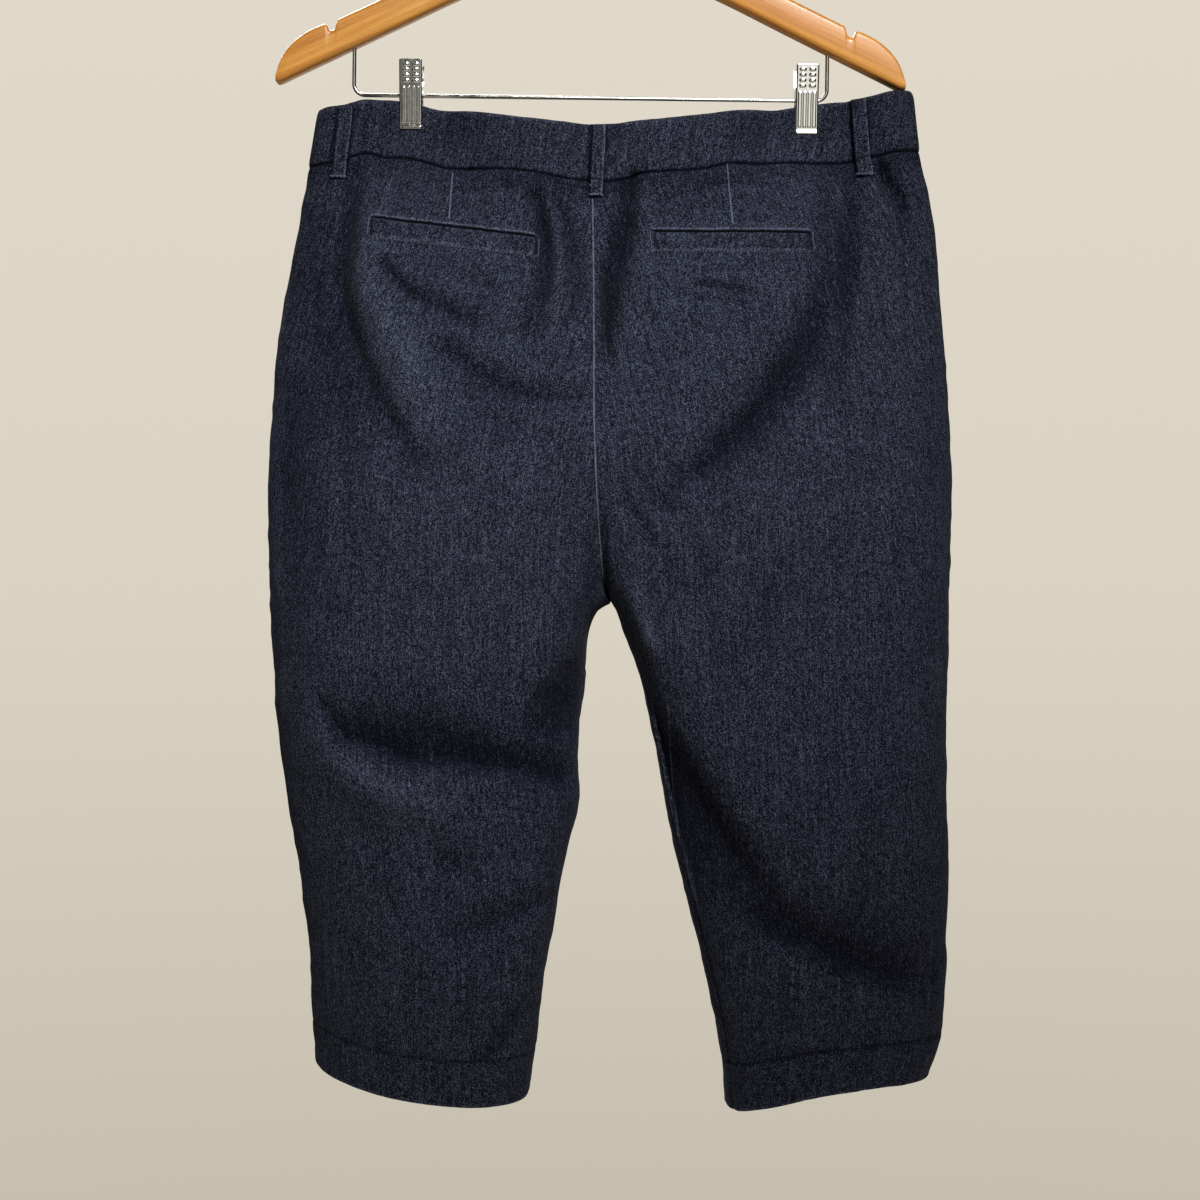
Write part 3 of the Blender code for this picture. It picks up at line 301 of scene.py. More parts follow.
# ------------------------------------------------------------------ folds, mm
# A fold runs smoothly through its points in the plane of the hanging garment. Each point is
# (x, drop, depth, above, below): the cloth is pressed in (negative) or stands out by depth, and slopes
# away over "above" on the side with the smaller drop and "below" on the other, which are left and
# right for a steep fold.
BACK_FOLDS = {
    "band_by_left_loop": [
        (-169, 208, -0.6, 4, 5), (-169, 226, -2.2, 4, 6), (-170, 248, -3, 4, 6), (-171, 257, -4, 4, 5),
    ],
    "band_left_clip": [(-154, 205, 0, 8, 8), (-152, 222, 0.8, 8, 8), (-148, 240, 0, 8, 8)],
    "band_left": [(-84, 212, 0, 10, 12), (-82, 235, -1, 10, 12), (-80, 262, 0, 10, 12)],
    "band_left_rise": [(-52, 215, 0, 12, 12), (-50, 240, 1, 12, 12), (-48, 268, 0, 12, 12)],
    "band_centre": [
        (10, 216, -1, 6, 7), (15, 238, -2.2, 6, 7), (20, 256, -2.6, 5, 6), (21, 268, -3, 4.5, 5),
    ],
    "band_right_rise": [(44, 214, 0, 14, 14), (46, 240, 1, 14, 14), (48, 262, 0, 14, 14)],
    "band_right_clip": [(92, 222, 0, 5, 6), (112, 228, -0.9, 5, 6), (124, 236, 0, 5, 6)],
    "band_by_right_loop": [
        (188, 198, -1, 5, 6), (192, 220, -2.6, 6, 7), (196, 244, -3.5, 5, 6), (200, 260, -4, 4, 5),
    ],
    "left_hip_crease": [
        (-171, 256, -8, 6, 6), (-173, 278, -13, 6, 6), (-175, 303, -15, 7, 6.5),
        (-178, 325, -15, 7, 6.5), (-178, 343, -13, 8, 6.5), (-172, 368, -10, 9, 6.5),
        (-164, 392, -8, 10, 7), (-154, 415, -8, 11, 8), (-142, 437, -8, 11, 9), (-130, 459, -6, 11, 10),
        (-118, 482, 0, 10, 10),
    ],
    "left_hip_hollow": [
        (-193, 269, 0, 18, 20), (-195, 309, -8, 22, 24), (-194, 345, -11, 22, 26),
        (-187, 381, -12, 24, 28), (-178, 413, -10, 26, 28), (-168, 442, -5, 26, 26),
        (-161, 470, 0, 22, 22),
    ],
    "left_hip_ridge": [
        (-161, 266, 0, 30, 16), (-163, 307, 7, 34, 18), (-162, 343, 9, 34, 18), (-145, 382, 9, 34, 18),
        (-128, 412, 8, 32, 16), (-115, 440, 4, 26, 14), (-108, 465, 0, 18, 10),
    ],
    "below_left_loop": [
        (-154, 266, 0, 3, 3), (-160, 275, -3, 3, 3), (-163, 284, -3, 3, 3), (-164, 291, 0, 3, 3),
    ],
    "under_left_welt": [
        (-154, 319, 0, 5, 5), (-148, 328, -6.8, 5, 5), (-140, 338, -7.5, 5.5, 5.5),
        (-131, 347, -7.5, 6, 6), (-116, 354, -6.8, 8, 7), (-101, 362, -6, 8, 7), (-88, 367, -4.5, 6, 6),
        (-76, 371, 0, 5, 5),
    ],
    "left_seat_ridge": [
        (-160, 336, 0, 8, 10), (-153, 354, 4, 9, 10), (-145, 375, 4, 10, 11), (-135, 397, 3, 10, 10),
        (-127, 415, 0, 9, 9),
    ],
    "left_seat_sweep": [
        (-117, 378, 0, 7, 7), (-105, 387, -6, 8, 7), (-95, 396, -7.5, 9, 8), (-81, 407, -8.2, 10, 9),
        (-66, 414, -7.5, 10, 9), (-47, 419, -6, 10, 9), (-27, 421, -3.8, 9, 8), (-10, 420, -2.6, 7, 7),
        (-2, 420, 0, 6, 6),
    ],
    "left_seat_low": [
        (-100, 400, 0, 6, 6), (-92, 416, -2.8, 6, 6), (-84, 426, -3.6, 7, 6), (-70, 436, -3.3, 7, 6),
        (-51, 441, -2.8, 7, 6), (-27, 446, 0, 6, 6),
    ],
    "left_of_centre": [
        (-52, 267, 0, 5, 5), (-44, 280, -8.8, 5, 5), (-40, 298, -11.4, 5.5, 5.5),
        (-38, 318, -12.3, 5.5, 5.5), (-39, 336, -11.4, 5.5, 5.5), (-42, 355, -8.8, 5.5, 5.5),
        (-48, 373, -6.2, 6, 6), (-56, 388, 0, 6, 6),
    ],
    "left_of_centre_ridge": [
        (-34, 275, 0, 4, 5), (-31, 302, 3, 4, 5), (-29, 327, 4, 4, 5), (-29, 352, 4, 4.5, 5),
        (-33, 376, 2.5, 5, 6), (-37, 397, 0, 5, 6),
    ],
    "by_centre": [
        (-35, 272, 0, 3, 3.5), (-30, 282, -4.5, 3, 4), (-25, 296, -5.5, 4, 4.5), (-20, 313, -6, 4.5, 5),
        (-18, 334, -6, 4.5, 5), (-18, 355, -5, 4.5, 5), (-21, 378, 0, 5, 6),
    ],
    "above_left_dart": [(-71, 258, 0, 3, 3), (-65, 269, -3, 3, 3), (-58, 280, 0, 3, 3)],
    "right_of_centre": [
        (23, 264, -5, 5, 5), (19, 280, -11, 6, 6), (16, 302, -15, 7, 6.5), (12, 323, -16, 8, 6.5),
        (6, 346, -16, 8.5, 7), (3, 369, -13, 9, 7), (1, 387, -9, 9, 7), (0, 407, 0, 8, 7),
    ],
    "right_of_centre_ridge": [
        (32, 270, 0, 5, 7), (31, 302, 3, 5, 7), (28, 330, 3, 5, 8), (23, 362, 0, 5, 8),
    ],
    "centre_pleat": [(14, 264, 0, 1.8, 2), (14, 272, -2.6, 1.8, 2), (14, 284, 0, 1.8, 2)],
    "right_seat_sweep": [
        (159, 259, -6, 7, 7), (157, 289, -7, 9, 8), (156, 319, -6.8, 8, 8), (154, 344, -9.3, 9, 9),
        (147, 364, -11.9, 10, 10), (139, 389, -16, 13, 11), (124, 410, -17, 13, 12),
        (108, 431, -16, 12, 12), (91, 451, -14, 12, 12), (73, 468, -12, 12, 11), (57, 476, -8, 11, 10),
        (46, 489, -5, 9, 8), (35, 493, 0, 8, 7),
    ],
    "right_seat_ridge": [
        (166, 311, 0, 5, 5), (164, 336, 3, 5, 5), (163, 361, 4, 5, 6), (160, 382, 3, 6, 6),
        (153, 400, 0, 6, 6),
    ],
    "right_hip_crease": [
        (175, 246, -9, 7, 7), (174, 285, -12, 8, 8), (171, 315, -13, 8, 8), (168, 343, -13, 8, 8),
        (164, 372, -10, 8, 8), (162, 396, -8, 8, 8), (159, 420, -5, 8, 8), (156, 448, 0, 8, 8),
    ],
    "right_loop_crease": [
        (196, 254, -9, 5, 5.5), (203, 267, -11, 5, 5.5), (210, 279, -10, 5.5, 6), (213, 295, -6, 6, 7),
        (214, 316, -4, 7, 8), (214, 343, 0, 8, 9),
    ],
    "under_right_welt": [
        (59, 336, 0, 2.5, 2.5), (68, 341, -4, 3, 2.5), (83, 343, -4.2, 3, 2.5), (96, 345, -3.8, 3, 2.5),
        (109, 346, 0, 2.5, 2.5),
    ],
    "under_right_welt_2": [
        (60, 350, 0, 3, 3), (76, 352, -2.6, 4, 3), (99, 352, -2.4, 4, 3), (115, 351, 0, 3, 3),
    ],
    "under_left_welt_2": [
        (-109, 338, 0, 3, 3), (-89, 339, -2.4, 4, 3), (-72, 343, -2.4, 4, 3), (-60, 347, 0, 3, 3),
    ],
    "right_crotch_high": [
        (13, 452, 0, 3, 4), (22, 466, -2.4, 4, 4), (30, 479, -2.7, 5, 4), (38, 492, -2.7, 5, 5),
        (48, 497, -2.4, 5, 5), (59, 493, 0, 4, 5),
    ],
    "right_crotch_long": [
        (8, 481, 0, 4, 4), (17, 492, -2.9, 5, 5), (27, 506, -3.2, 5, 5), (37, 523, -2.9, 5, 5),
        (46, 539, -2.5, 5, 5), (57, 556, 0, 4, 5),
    ],
    "left_crotch": [
        (1, 492, 0, 4, 3), (1, 509, -4.8, 6, 5), (-1, 529, -7.2, 9, 6), (-4, 556, -8, 11, 7),
        (-8, 585, -4, 9, 7), (-10, 598, 0, 7, 6),
    ],
    "left_knee": [
        (-195, 613, 0, 7, 5), (-188, 632, -5.9, 10, 5), (-176, 649, -10.4, 15, 5.5),
        (-159, 654, -14.8, 22, 6), (-135, 663, -17, 28, 6.5), (-115, 665, -17, 29, 6.5),
        (-96, 666, -17, 23, 6.5), (-81, 669, -17, 24, 6.5), (-64, 671, -14.8, 17, 5.5),
        (-47, 674, -14, 14, 5.5), (-32, 680, -9, 11, 5), (-22, 684, -4, 8, 4), (-15, 688, 0, 6, 4),
    ],
    "left_knee_ridge": [
        (-196, 631, 0, 6, 12), (-184, 660, 5.2, 6, 14), (-159, 680, 8.6, 8, 18),
        (-128, 692, 8.6, 10, 20), (-108, 697, 5.2, 10, 18), (-90, 699, 0, 10, 16),
    ],
    "left_knee_flap": [
        (-7, 585, 0, 6, 8), (-13, 599, -7, 10, 12), (-20, 612, -14, 15, 14), (-25, 626, -17.8, 21, 14),
        (-29, 643, -15.9, 24, 14), (-30, 657, -9.3, 22, 12), (-30, 671, -9, 14, 12),
        (-32, 687, -7, 14, 12), (-35, 708, 0, 12, 12),
    ],
    "left_knee_edge": [
        (-16, 591, 0, 3, 3), (-29, 600, 2.5, 3, 3.5), (-39, 609, 3, 3, 4), (-47, 620, 3, 3, 4),
        (-53, 632, 3, 3, 4), (-55, 644, 2, 3, 4), (-53, 654, 0, 3, 3),
    ],
    "left_calf_high": [
        (-121, 730, 0, 8, 6), (-108, 735, -4.5, 9, 6), (-95, 739, -5, 9, 6), (-80, 749, 0, 6, 6),
    ],
    "left_calf": [
        (-106, 783, 0, 8, 5), (-94, 782, -4.9, 10, 5), (-78, 780, -6.3, 12, 5), (-65, 776, -6.3, 11, 5),
        (-53, 770, -5.6, 9, 5), (-41, 764, -4.9, 7, 4.5), (-30, 759, -3.5, 5, 4),
    ],
    "left_hem_fold": [
        (-93, 869, 0, 6, 3), (-78, 867, -5, 7, 3), (-68, 861, -7, 8, 4), (-61, 850, -7, 8, 4),
        (-53, 840, -6, 7, 4), (-42, 835, -4, 5, 4),
    ],
    "right_knee": [
        (24, 613, -1, 10, 7), (29, 625, -4.8, 24, 8), (39, 644, -13.6, 34, 9), (51, 665, -16.7, 42, 10),
        (66, 692, -17.8, 44, 11), (81, 715, -16.7, 42, 12), (96, 738, -14.7, 38, 13),
        (111, 757, -11.7, 28, 13), (124, 772, -7.1, 18, 12), (135, 784, 0, 12, 11),
    ],
    "right_calf": [
        (96, 763, 0, 6, 6), (105, 774, -7.5, 9, 6), (118, 784, -11.2, 16, 7), (135, 789, -14.2, 22, 8),
        (152, 796, -15, 26, 8), (169, 805, -15, 28, 8), (190, 812, -13.5, 28, 9),
        (208, 817, -10.5, 26, 9), (224, 823, -6.8, 22, 9), (234, 828, 0, 16, 9),
    ],
    "right_calf_high": [
        (164, 776, 0, 5, 5), (177, 777, -1.8, 5, 5), (197, 778, -2.1, 5, 6), (209, 777, 0, 5, 5),
    ],
    "right_hem_notch": [
        (110, 870, 0, 2, 2), (114, 877, -2.4, 2, 2), (121, 885, -2.8, 2, 2), (133, 892, 0, 2, 2),
    ],
    "right_hem_line": [
        (94, 869, 0, 3, 2.5), (106, 867, -2.6, 3, 2.5), (129, 866, -3.2, 4, 2.5),
        (149, 864, -2.6, 3, 2.5), (171, 860, 0, 3, 2.5),
    ],
    "right_thigh": [
        (122, 520, 0, 6, 7), (119, 536, -3.5, 6, 7), (113, 553, -4.2, 6, 7), (106, 570, -4.2, 6, 7),
        (101, 585, -3.8, 7, 8), (89, 597, -3.5, 7, 8), (67, 602, 0, 7, 8),
    ],
    "right_thigh_inner": [
        (59, 499, 0, 5, 6), (67, 529, -3.5, 5, 6), (71, 556, -3, 6, 6), (76, 585, 0, 6, 6),
    ],
    "right_thigh_ridge": [
        (167, 501, 0, 5, 5), (177, 536, 2, 5, 5), (184, 570, 2, 5, 5), (194, 594, 0, 5, 5),
    ],
    "right_inner_ridge": [
        (14, 536, 0, 6, 6), (22, 558, 6, 6, 7), (31, 584, 8, 6, 7), (42, 607, 0, 6, 6),
    ],
    "left_thigh_streak": [
        (-175, 425, 0, 7, 7), (-173, 468, -2.6, 7, 7), (-169, 516, -2.6, 7, 7), (-165, 556, 0, 7, 7),
    ],
    "left_thigh_streak_2": [(-144, 475, 0, 5, 6), (-143, 502, -2.2, 5, 6), (-142, 536, 0, 5, 6)],
    "left_thigh_rise": [(-155, 448, 0, 6, 7), (-148, 496, 2.2, 6, 7), (-136, 548, 0, 6, 7)],
    "right_thigh_streak": [(85, 492, 0, 4, 4), (79, 523, -2.2, 4, 4), (73, 551, 0, 4, 4)],
    "right_thigh_streak_2": [(108, 492, 0, 4, 4), (104, 523, -2, 4, 4), (98, 551, 0, 4, 4)],
    "left_calf_streak_2": [(-187, 792, 0, 6, 6), (-164, 800, -2, 7, 6), (-136, 802, 0, 6, 6)],
    "yoke_left_arc": [
        (-159, 282, 0, 4, 4), (-143, 272, -3, 4, 4), (-119, 269, -3.4, 5, 4), (-90, 273, -2.6, 4, 4),
        (-70, 280, 0, 4, 4),
    ],
    "yoke_left_arc_2": [
        (-154, 295, 0, 3, 3), (-132, 286, -2.2, 4, 3), (-100, 285, -2.4, 4, 3), (-62, 290, 0, 3, 3),
    ],
    "yoke_right_arc": [
        (33, 286, 0, 4, 4), (55, 277, -3, 4, 4), (83, 270, -3.2, 5, 4), (111, 266, -2.6, 4, 4),
        (139, 272, 0, 4, 4),
    ],
    "yoke_right_arc_2": [
        (38, 296, 0, 3, 3), (69, 286, -2.2, 4, 3), (111, 282, -2.2, 4, 3), (147, 287, 0, 3, 3),
    ],
    "beside_seat_seam": [
        (3, 291, 0, 3, 4), (3, 313, -2.5, 3, 4), (3, 345, -3, 3, 4), (5, 373, -5, 3, 5),
        (3, 388, -4, 3, 4), (1, 403, 0, 3, 4),
    ],
    "left_side_hollow": [
        (-214, 390, 0, 8, 24), (-217, 432, -6, 8, 26), (-218, 487, -7, 8, 28), (-214, 543, -4, 8, 26),
        (-210, 584, 0, 8, 22),
    ],
}
# The fly side is hidden, so its folds are like those of the back.
FRONT_FOLDS = {
    "left_from_clip": [
        (-140, 262, -4, 7, 8), (-136, 300, -9, 9, 9), (-126, 345, -11, 11, 10), (-110, 392, -8, 12, 11),
        (-92, 430, 0, 11, 10),
    ],
    "left_clip_ridge": [
        (-122, 270, 0, 7, 10), (-116, 312, 4, 8, 12), (-104, 356, 4, 9, 12), (-88, 396, 0, 9, 11),
    ],
    "left_hip": [
        (-176, 268, -3, 6, 6), (-182, 305, -8, 7, 7), (-184, 345, -9, 8, 8), (-178, 390, -5, 9, 9),
        (-168, 430, 0, 9, 9),
    ],
    "left_by_fly": [
        (-62, 288, -3, 6, 6), (-56, 318, -8, 7, 7), (-46, 352, -8, 8, 8), (-34, 388, 0, 8, 8),
    ],
    "right_from_clip": [
        (150, 262, -4, 8, 7), (147, 298, -10, 9, 9), (138, 340, -12, 10, 11), (122, 386, -9, 11, 12),
        (103, 428, -4, 10, 11), (88, 452, 0, 9, 10),
    ],
    "right_clip_ridge": [
        (131, 272, 0, 9, 7), (124, 316, 4, 11, 8), (112, 358, 4, 11, 8), (96, 398, 0, 10, 8),
    ],
    "right_hip": [
        (188, 262, -3, 6, 6), (195, 300, -7, 7, 7), (197, 344, -8, 8, 8), (191, 392, -4, 9, 9),
        (183, 428, 0, 9, 9),
    ],
    "right_by_fly": [(66, 284, -3, 6, 6), (62, 316, -7, 7, 7), (54, 348, -7, 8, 8), (44, 380, 0, 8, 8)],
    "left_whisker_high": [
        (-22, 452, 0, 4, 5), (-48, 441, -3.5, 5, 6), (-82, 438, -4.5, 6, 7), (-118, 444, -2, 6, 7),
        (-140, 452, 0, 6, 6),
    ],
    "left_whisker_low": [
        (-18, 486, 0, 4, 5), (-46, 490, -4.5, 6, 6), (-80, 502, -5, 7, 7), (-116, 520, -3, 7, 7),
        (-146, 536, 0, 6, 6),
    ],
    "right_whisker_high": [
        (26, 446, 0, 4, 5), (56, 436, -4, 5, 6), (92, 434, -4, 6, 7), (126, 442, 0, 6, 7),
    ],
    "right_whisker_low": [
        (24, 478, 0, 4, 5), (52, 482, -4, 6, 6), (88, 494, -5.5, 7, 7), (124, 510, -3.5, 7, 7),
        (158, 530, 0, 6, 6),
    ],
    "left_crotch": [
        (-8, 508, 0, 5, 6), (-28, 536, -6, 7, 7), (-50, 572, -6, 8, 8), (-68, 610, 0, 8, 8),
    ],
    "right_crotch": [(20, 506, 0, 5, 6), (40, 532, -6, 7, 7), (62, 568, -7, 8, 8), (84, 606, 0, 8, 8)],
    "left_knee": [
        (-200, 632, 0, 8, 5), (-176, 652, -7, 14, 6), (-140, 664, -13, 22, 7), (-104, 662, -13, 24, 7),
        (-72, 652, -9, 16, 6), (-44, 640, -4, 8, 5),
    ],
    "left_knee_ridge": [
        (-186, 664, 0, 6, 12), (-140, 688, 5, 8, 16), (-96, 690, 5, 8, 16), (-60, 676, 0, 7, 12),
    ],
    "right_knee": [
        (214, 640, 0, 8, 5), (190, 664, -8, 15, 6), (152, 682, -14, 24, 7), (116, 684, -13, 24, 7),
        (86, 674, -8, 14, 6), (62, 660, 0, 8, 5),
    ],
    "right_knee_ridge": [
        (202, 680, 0, 6, 12), (156, 706, 5, 8, 16), (112, 708, 5, 8, 16), (80, 694, 0, 7, 12),
    ],
    "left_calf": [
        (-190, 748, 0, 7, 5), (-160, 770, -6, 12, 6), (-124, 782, -9, 16, 7), (-88, 778, -7, 13, 6),
        (-56, 764, 0, 7, 5),
    ],
    "left_calf_low": [
        (-170, 820, 0, 5, 5), (-140, 831, -4, 8, 6), (-108, 833, -4, 8, 6), (-80, 825, 0, 5, 5),
    ],
    "right_calf": [
        (222, 770, 0, 7, 5), (196, 790, -8, 14, 6), (162, 800, -10, 18, 7), (130, 794, -7, 13, 6),
        (104, 780, 0, 7, 5),
    ],
    "right_calf_low": [
        (208, 832, 0, 5, 5), (180, 842, -4, 8, 6), (150, 842, -4, 8, 6), (122, 834, 0, 5, 5),
    ],
    "band_left": [(-110, 210, 0, 12, 12), (-108, 235, -1.2, 12, 12), (-106, 262, 0, 12, 12)],
    "band_right": [(70, 214, 0, 12, 12), (72, 240, -1.2, 12, 12), (74, 265, 0, 12, 12)],
}

PANELS = ("back_left", "back_right", "front_left", "front_right")


def outward_of(panel):
    """The way in y that a panel faces."""
    return -1 if panel.startswith("back") else 1


def smooth(u):
    """0 to 1 with no slope at either end."""
    u = np.clip(u, 0, 1)
    return u * u * (3 - 2 * u)


def unit(vectors):
    length = np.linalg.norm(vectors, axis=-1, keepdims=True)
    return vectors / np.maximum(length, 1e-9)


def power(value, exponent):
    return np.sign(value) * np.abs(value) ** exponent


def hump(value, middle, width):
    """1 at the middle, and a soft fall to 0 over about this width on either side."""
    return np.exp(-(((value - middle) / width) ** 2))


LATTICE = 64  # cells before the noise repeats


def ripple(x, y, size, seed):
    """Smooth noise from -1 to 1 over the plane, with cells of this size."""
    lattice = np.random.RandomState(seed).uniform(-1, 1, (LATTICE, LATTICE))
    x, y = np.asarray(x) / size, np.asarray(y) / size
    i, j = np.floor(x).astype(int), np.floor(y).astype(int)
    u, v = smooth(x - i), smooth(y - j)
    corner = [[lattice[(i + a) % LATTICE, (j + b) % LATTICE] for b in (0, 1)] for a in (0, 1)]
    left = corner[0][0] * (1 - v) + corner[0][1] * v
    right = corner[1][0] * (1 - v) + corner[1][1] * v
    return left * (1 - u) + right * u


# ------------------------------------------------------------------ the garment's surface
def fine_levels():
    levels = [BAND_SEAM]
    for start, end, spacing in ROW_RUNS:
        count = round((end - start) / spacing)
        levels += list(np.linspace(start, end, count + 1)[1:])
    return np.array(levels)


def seam_points(panel, level):
    """(side seam point, centre seam or inseam point) of a panel's row."""
    front, side = panel.split("_")
    outer = np.array([SIDES.at(f"{side}_{k}", level) for k in ("x", "y", "drop")])
    if level <= CROTCH:
        centre = CENTRE_BACK if front == "back" else CENTRE_FRONT
        inner = np.array([centre.at(k, level) for k in ("x", "y", "drop")])
    else:
        inner = np.array([INSEAMS.at(f"{side}_{k}", level) for k in ("x", "y", "drop")])
    return outer, inner


def band_dip(panel, level, x, outer, inner):
    """How far the band's edges, and the rows just under it, lie below a straight line."""
    edges = BACK_EDGES if panel.startswith("back") else FRONT_EDGES

    def dip(name, ends):
        share = (x - ends[0][0]) / (ends[1][0] - ends[0][0])
        line = ends[0][2] + (ends[1][2] - ends[0][2]) * share
        off = edges.at(name, x) - line
        return off - (off[0] + (off[-1] - off[0]) * share)

    if level <= BAND_SEAM:
        u = (level - BAND_TOP) / (BAND_SEAM - BAND_TOP)
        return dip("top", (outer, inner)) * (1 - u) + dip("seam", (outer, inner)) * u
    fade = 1 - smooth((level - BAND_SEAM) / EDGE_FADE)
    if fade <= 0:
        return np.zeros_like(x)
    return dip("seam", seam_points(panel, BAND_SEAM)) * fade


def pinch(x, drop):
    """1 where a clip holds the front and back together, and 0 where they hang free."""
    total = np.zeros_like(x)
    wide = CLIP_SPREAD + CLIP_WIDENS * np.maximum(drop - BAND_TOP, 0)
    reach = hump(np.maximum(drop - CLIP_BITE, 0), 0, CLIP_FADE)
    for clip in CLIP_X:
        beside = np.maximum(np.abs(x - clip) - CLIP_FLAT, 0)
        total = np.maximum(total, hump(beside, 0, wide) * reach)
    return total


def dense_row(panel, level):
    """Points of a row before folds, as (x, y, drop)."""
    outward = outward_of(panel)
    outer, inner = seam_points(panel, level)
    depth = DEPTHS.at(panel, level)
    turn = math.radians(float(TURNS.at(panel, level)))
    square = float(TURNS.at("square", level))
    angle = np.linspace(0, turn, DENSE)
    exponent = 2 / np.where(angle <= math.pi / 2, SIDE_SQUARE, square)
    across = power(np.cos(angle), exponent)
    out = power(np.sin(angle), exponent)
    share = (1 - across) / (1 - across[-1])
    x = outer[0] + (inner[0] - outer[0]) * share
    base_end = inner[1] - outward * depth * out[-1]
    y = outer[1] + (base_end - outer[1]) * share + outward * depth * out
    drop = outer[2] + (inner[2] - outer[2]) * share ** float(TURNS.at("late", level))
    drop = drop + band_dip(panel, level, x, outer, inner)
    lift = HEM_LIFT[panel] * smooth((level - HEM_LIFT_FROM) / (HEM - HEM_LIFT_FROM))
    drop = drop - lift * np.sin(math.pi * share)
    if level < CROTCH_START:
        held = pinch(x, drop)
        y = y * (1 - held) + outward * CLIP_HALF * held
    return np.stack([x, y, drop], axis=-1)


def evenly(points, parts):
    """Points of a row at these parts of its length."""
    length = np.linalg.norm(np.diff(points, axis=0), axis=1)
    along = np.concatenate([[0], np.cumsum(length)])
    at = parts * along[-1]
    return np.stack([np.interp(at, along, points[:, k]) for k in range(3)], axis=-1)


def grid_normals(grid, outward):
    """Unit normals that point out of the garment."""
    normal = unit(np.cross(np.gradient(grid, axis=1), np.gradient(grid, axis=0)))
    middle = normal[:, normal.shape[1] // 2, 1].mean()
    return normal if middle * outward > 0 else -normal


def spline(marks, spacing):
    """Points of a smooth curve through marks, whose first two columns are its place."""
    before = np.vstack([2 * marks[0] - marks[1], marks, 2 * marks[-1] - marks[-2]])
    rows = []
    for p, a, b, n in zip(before, before[1:], before[2:], before[3:]):
        count = max(2, round(np.linalg.norm((b - a)[:2]) / spacing))
        u = np.linspace(0, 1, count, endpoint=False)[:, None]
        curve = 2 * a + (b - p) * u + (2 * p - 5 * a + 4 * b - n) * u**2
        curve = (curve + (3 * a - p - 3 * b + n) * u**3) / 2
        curve[:, 2:] = a[2:] + (b - a)[2:] * smooth(u)
        rows.append(curve)
    return np.vstack(rows + [marks[-1:]])


def fold_offsets(panel, grid):
    """How far each point of a grid stands out (or in) because of the folds."""
    x, drop = grid[..., 0], grid[..., 2]
    total = np.zeros(x.shape)
    for marks in (FRONT_FOLDS if panel.startswith("front") else BACK_FOLDS).values():
        curve = spline(np.array(marks, float), FOLD_STEP)
        reach = FOLD_REACH * curve[:, 3:].max()
        (left, high), (right, low) = curve[:, :2].min(axis=0) - reach, curve[:, :2].max(axis=0) + reach
        near = (x > left) & (x < right) & (drop > high) & (drop < low)
        if not near.any():
            continue
        away = np.stack([x[near], drop[near]], axis=-1)[:, None, :] - curve[:, :2]
        distance = np.linalg.norm(away, axis=-1)
        nearest = distance.argmin(axis=-1)
        away = away[np.arange(len(nearest)), nearest]
        tangent = unit(np.gradient(curve[:, :2], axis=0))
        across, down = curve[-1, :2] - curve[0, :2]
        way = np.sign(across) if abs(across) >= abs(down) else -np.sign(down)
        tangent = tangent[nearest] * way
        side = tangent[:, 0] * away[:, 1] - tangent[:, 1] * away[:, 0]
        depth, above, below = curve[nearest, 2:].T
        width = below + (above - below) * smooth(0.5 - side / SIDE_BLEND)
        sharp = np.where(depth < 0, TROUGH_SHARP, RIDGE_SHARP)
        past_end = (nearest == 0) | (nearest == len(curve) - 1)
        width = np.where(past_end, np.minimum(above, below), width)
        total[near] += depth * np.exp(-((distance.min(axis=-1) / width) ** sharp))
    return total


def lengths(grid, axis):
    """Distance along each row (axis 1) or column (axis 0)."""
    step = np.linalg.norm(np.diff(grid, axis=axis), axis=-1)
    start = np.zeros_like(np.take(step, [0], axis=axis))
    return np.concatenate([start, np.cumsum(step, axis=axis)], axis=axis)


SPOT_PASSES = 10  # that home in on a place on a grid


class Cloth:
    """Points and outward directions of a grid in mm, and its weave: where each point lies on the flat
    cloth, and its tone from paler (1) to darker (-1), which holds both fading and painted shade."""

    def __init__(self, points, normals, weave):
        self.points, self.normals, self.weave = points, normals, weave

    def rows(self, keep):
        return Cloth(self.points[keep], self.normals[keep], self.weave[keep])

    def turned_round(self):
        """With each row from its inner end to its side seam."""
        return Cloth(self.points[:, ::-1], self.normals[:, ::-1], self.weave[:, ::-1])

    def spot(self, x, drop):
        """(row, column) of the place seen at x and drop, square on."""
        grid = self.points
        rows, columns = np.arange(grid.shape[0]), np.arange(grid.shape[1])
        row, column = grid.shape[0] / 4, grid.shape[1] / 2
        for _ in range(SPOT_PASSES):
            column = np.interp(x, between(grid[..., 0], row), columns)
            row = np.interp(drop, between(grid[..., 2].T, column), rows)
        return row, column

    def at(self, x, drop, lift=0.0):
        """(point, outward direction, weave place) at x and drop."""
        row, column = self.spot(x, drop)
        point, out, weave = (
            between(between(field, row), column) for field in (self.points, self.normals, self.weave)
        )
        out = unit(out)
        return point + out * lift, out, weave


def between(values, at):
    """The values at a place between two rows."""
    low = int(min(max(at, 0), values.shape[0] - 1.001))
    part = at - low
    return values[low] * (1 - part) + values[low + 1] * part


SEAM_DEEP, SEAM_WIDE = 0.9, 1.5  # the groove along each seam


def seam_groove(distance):
    return -SEAM_DEEP * hump(distance, 0, SEAM_WIDE)


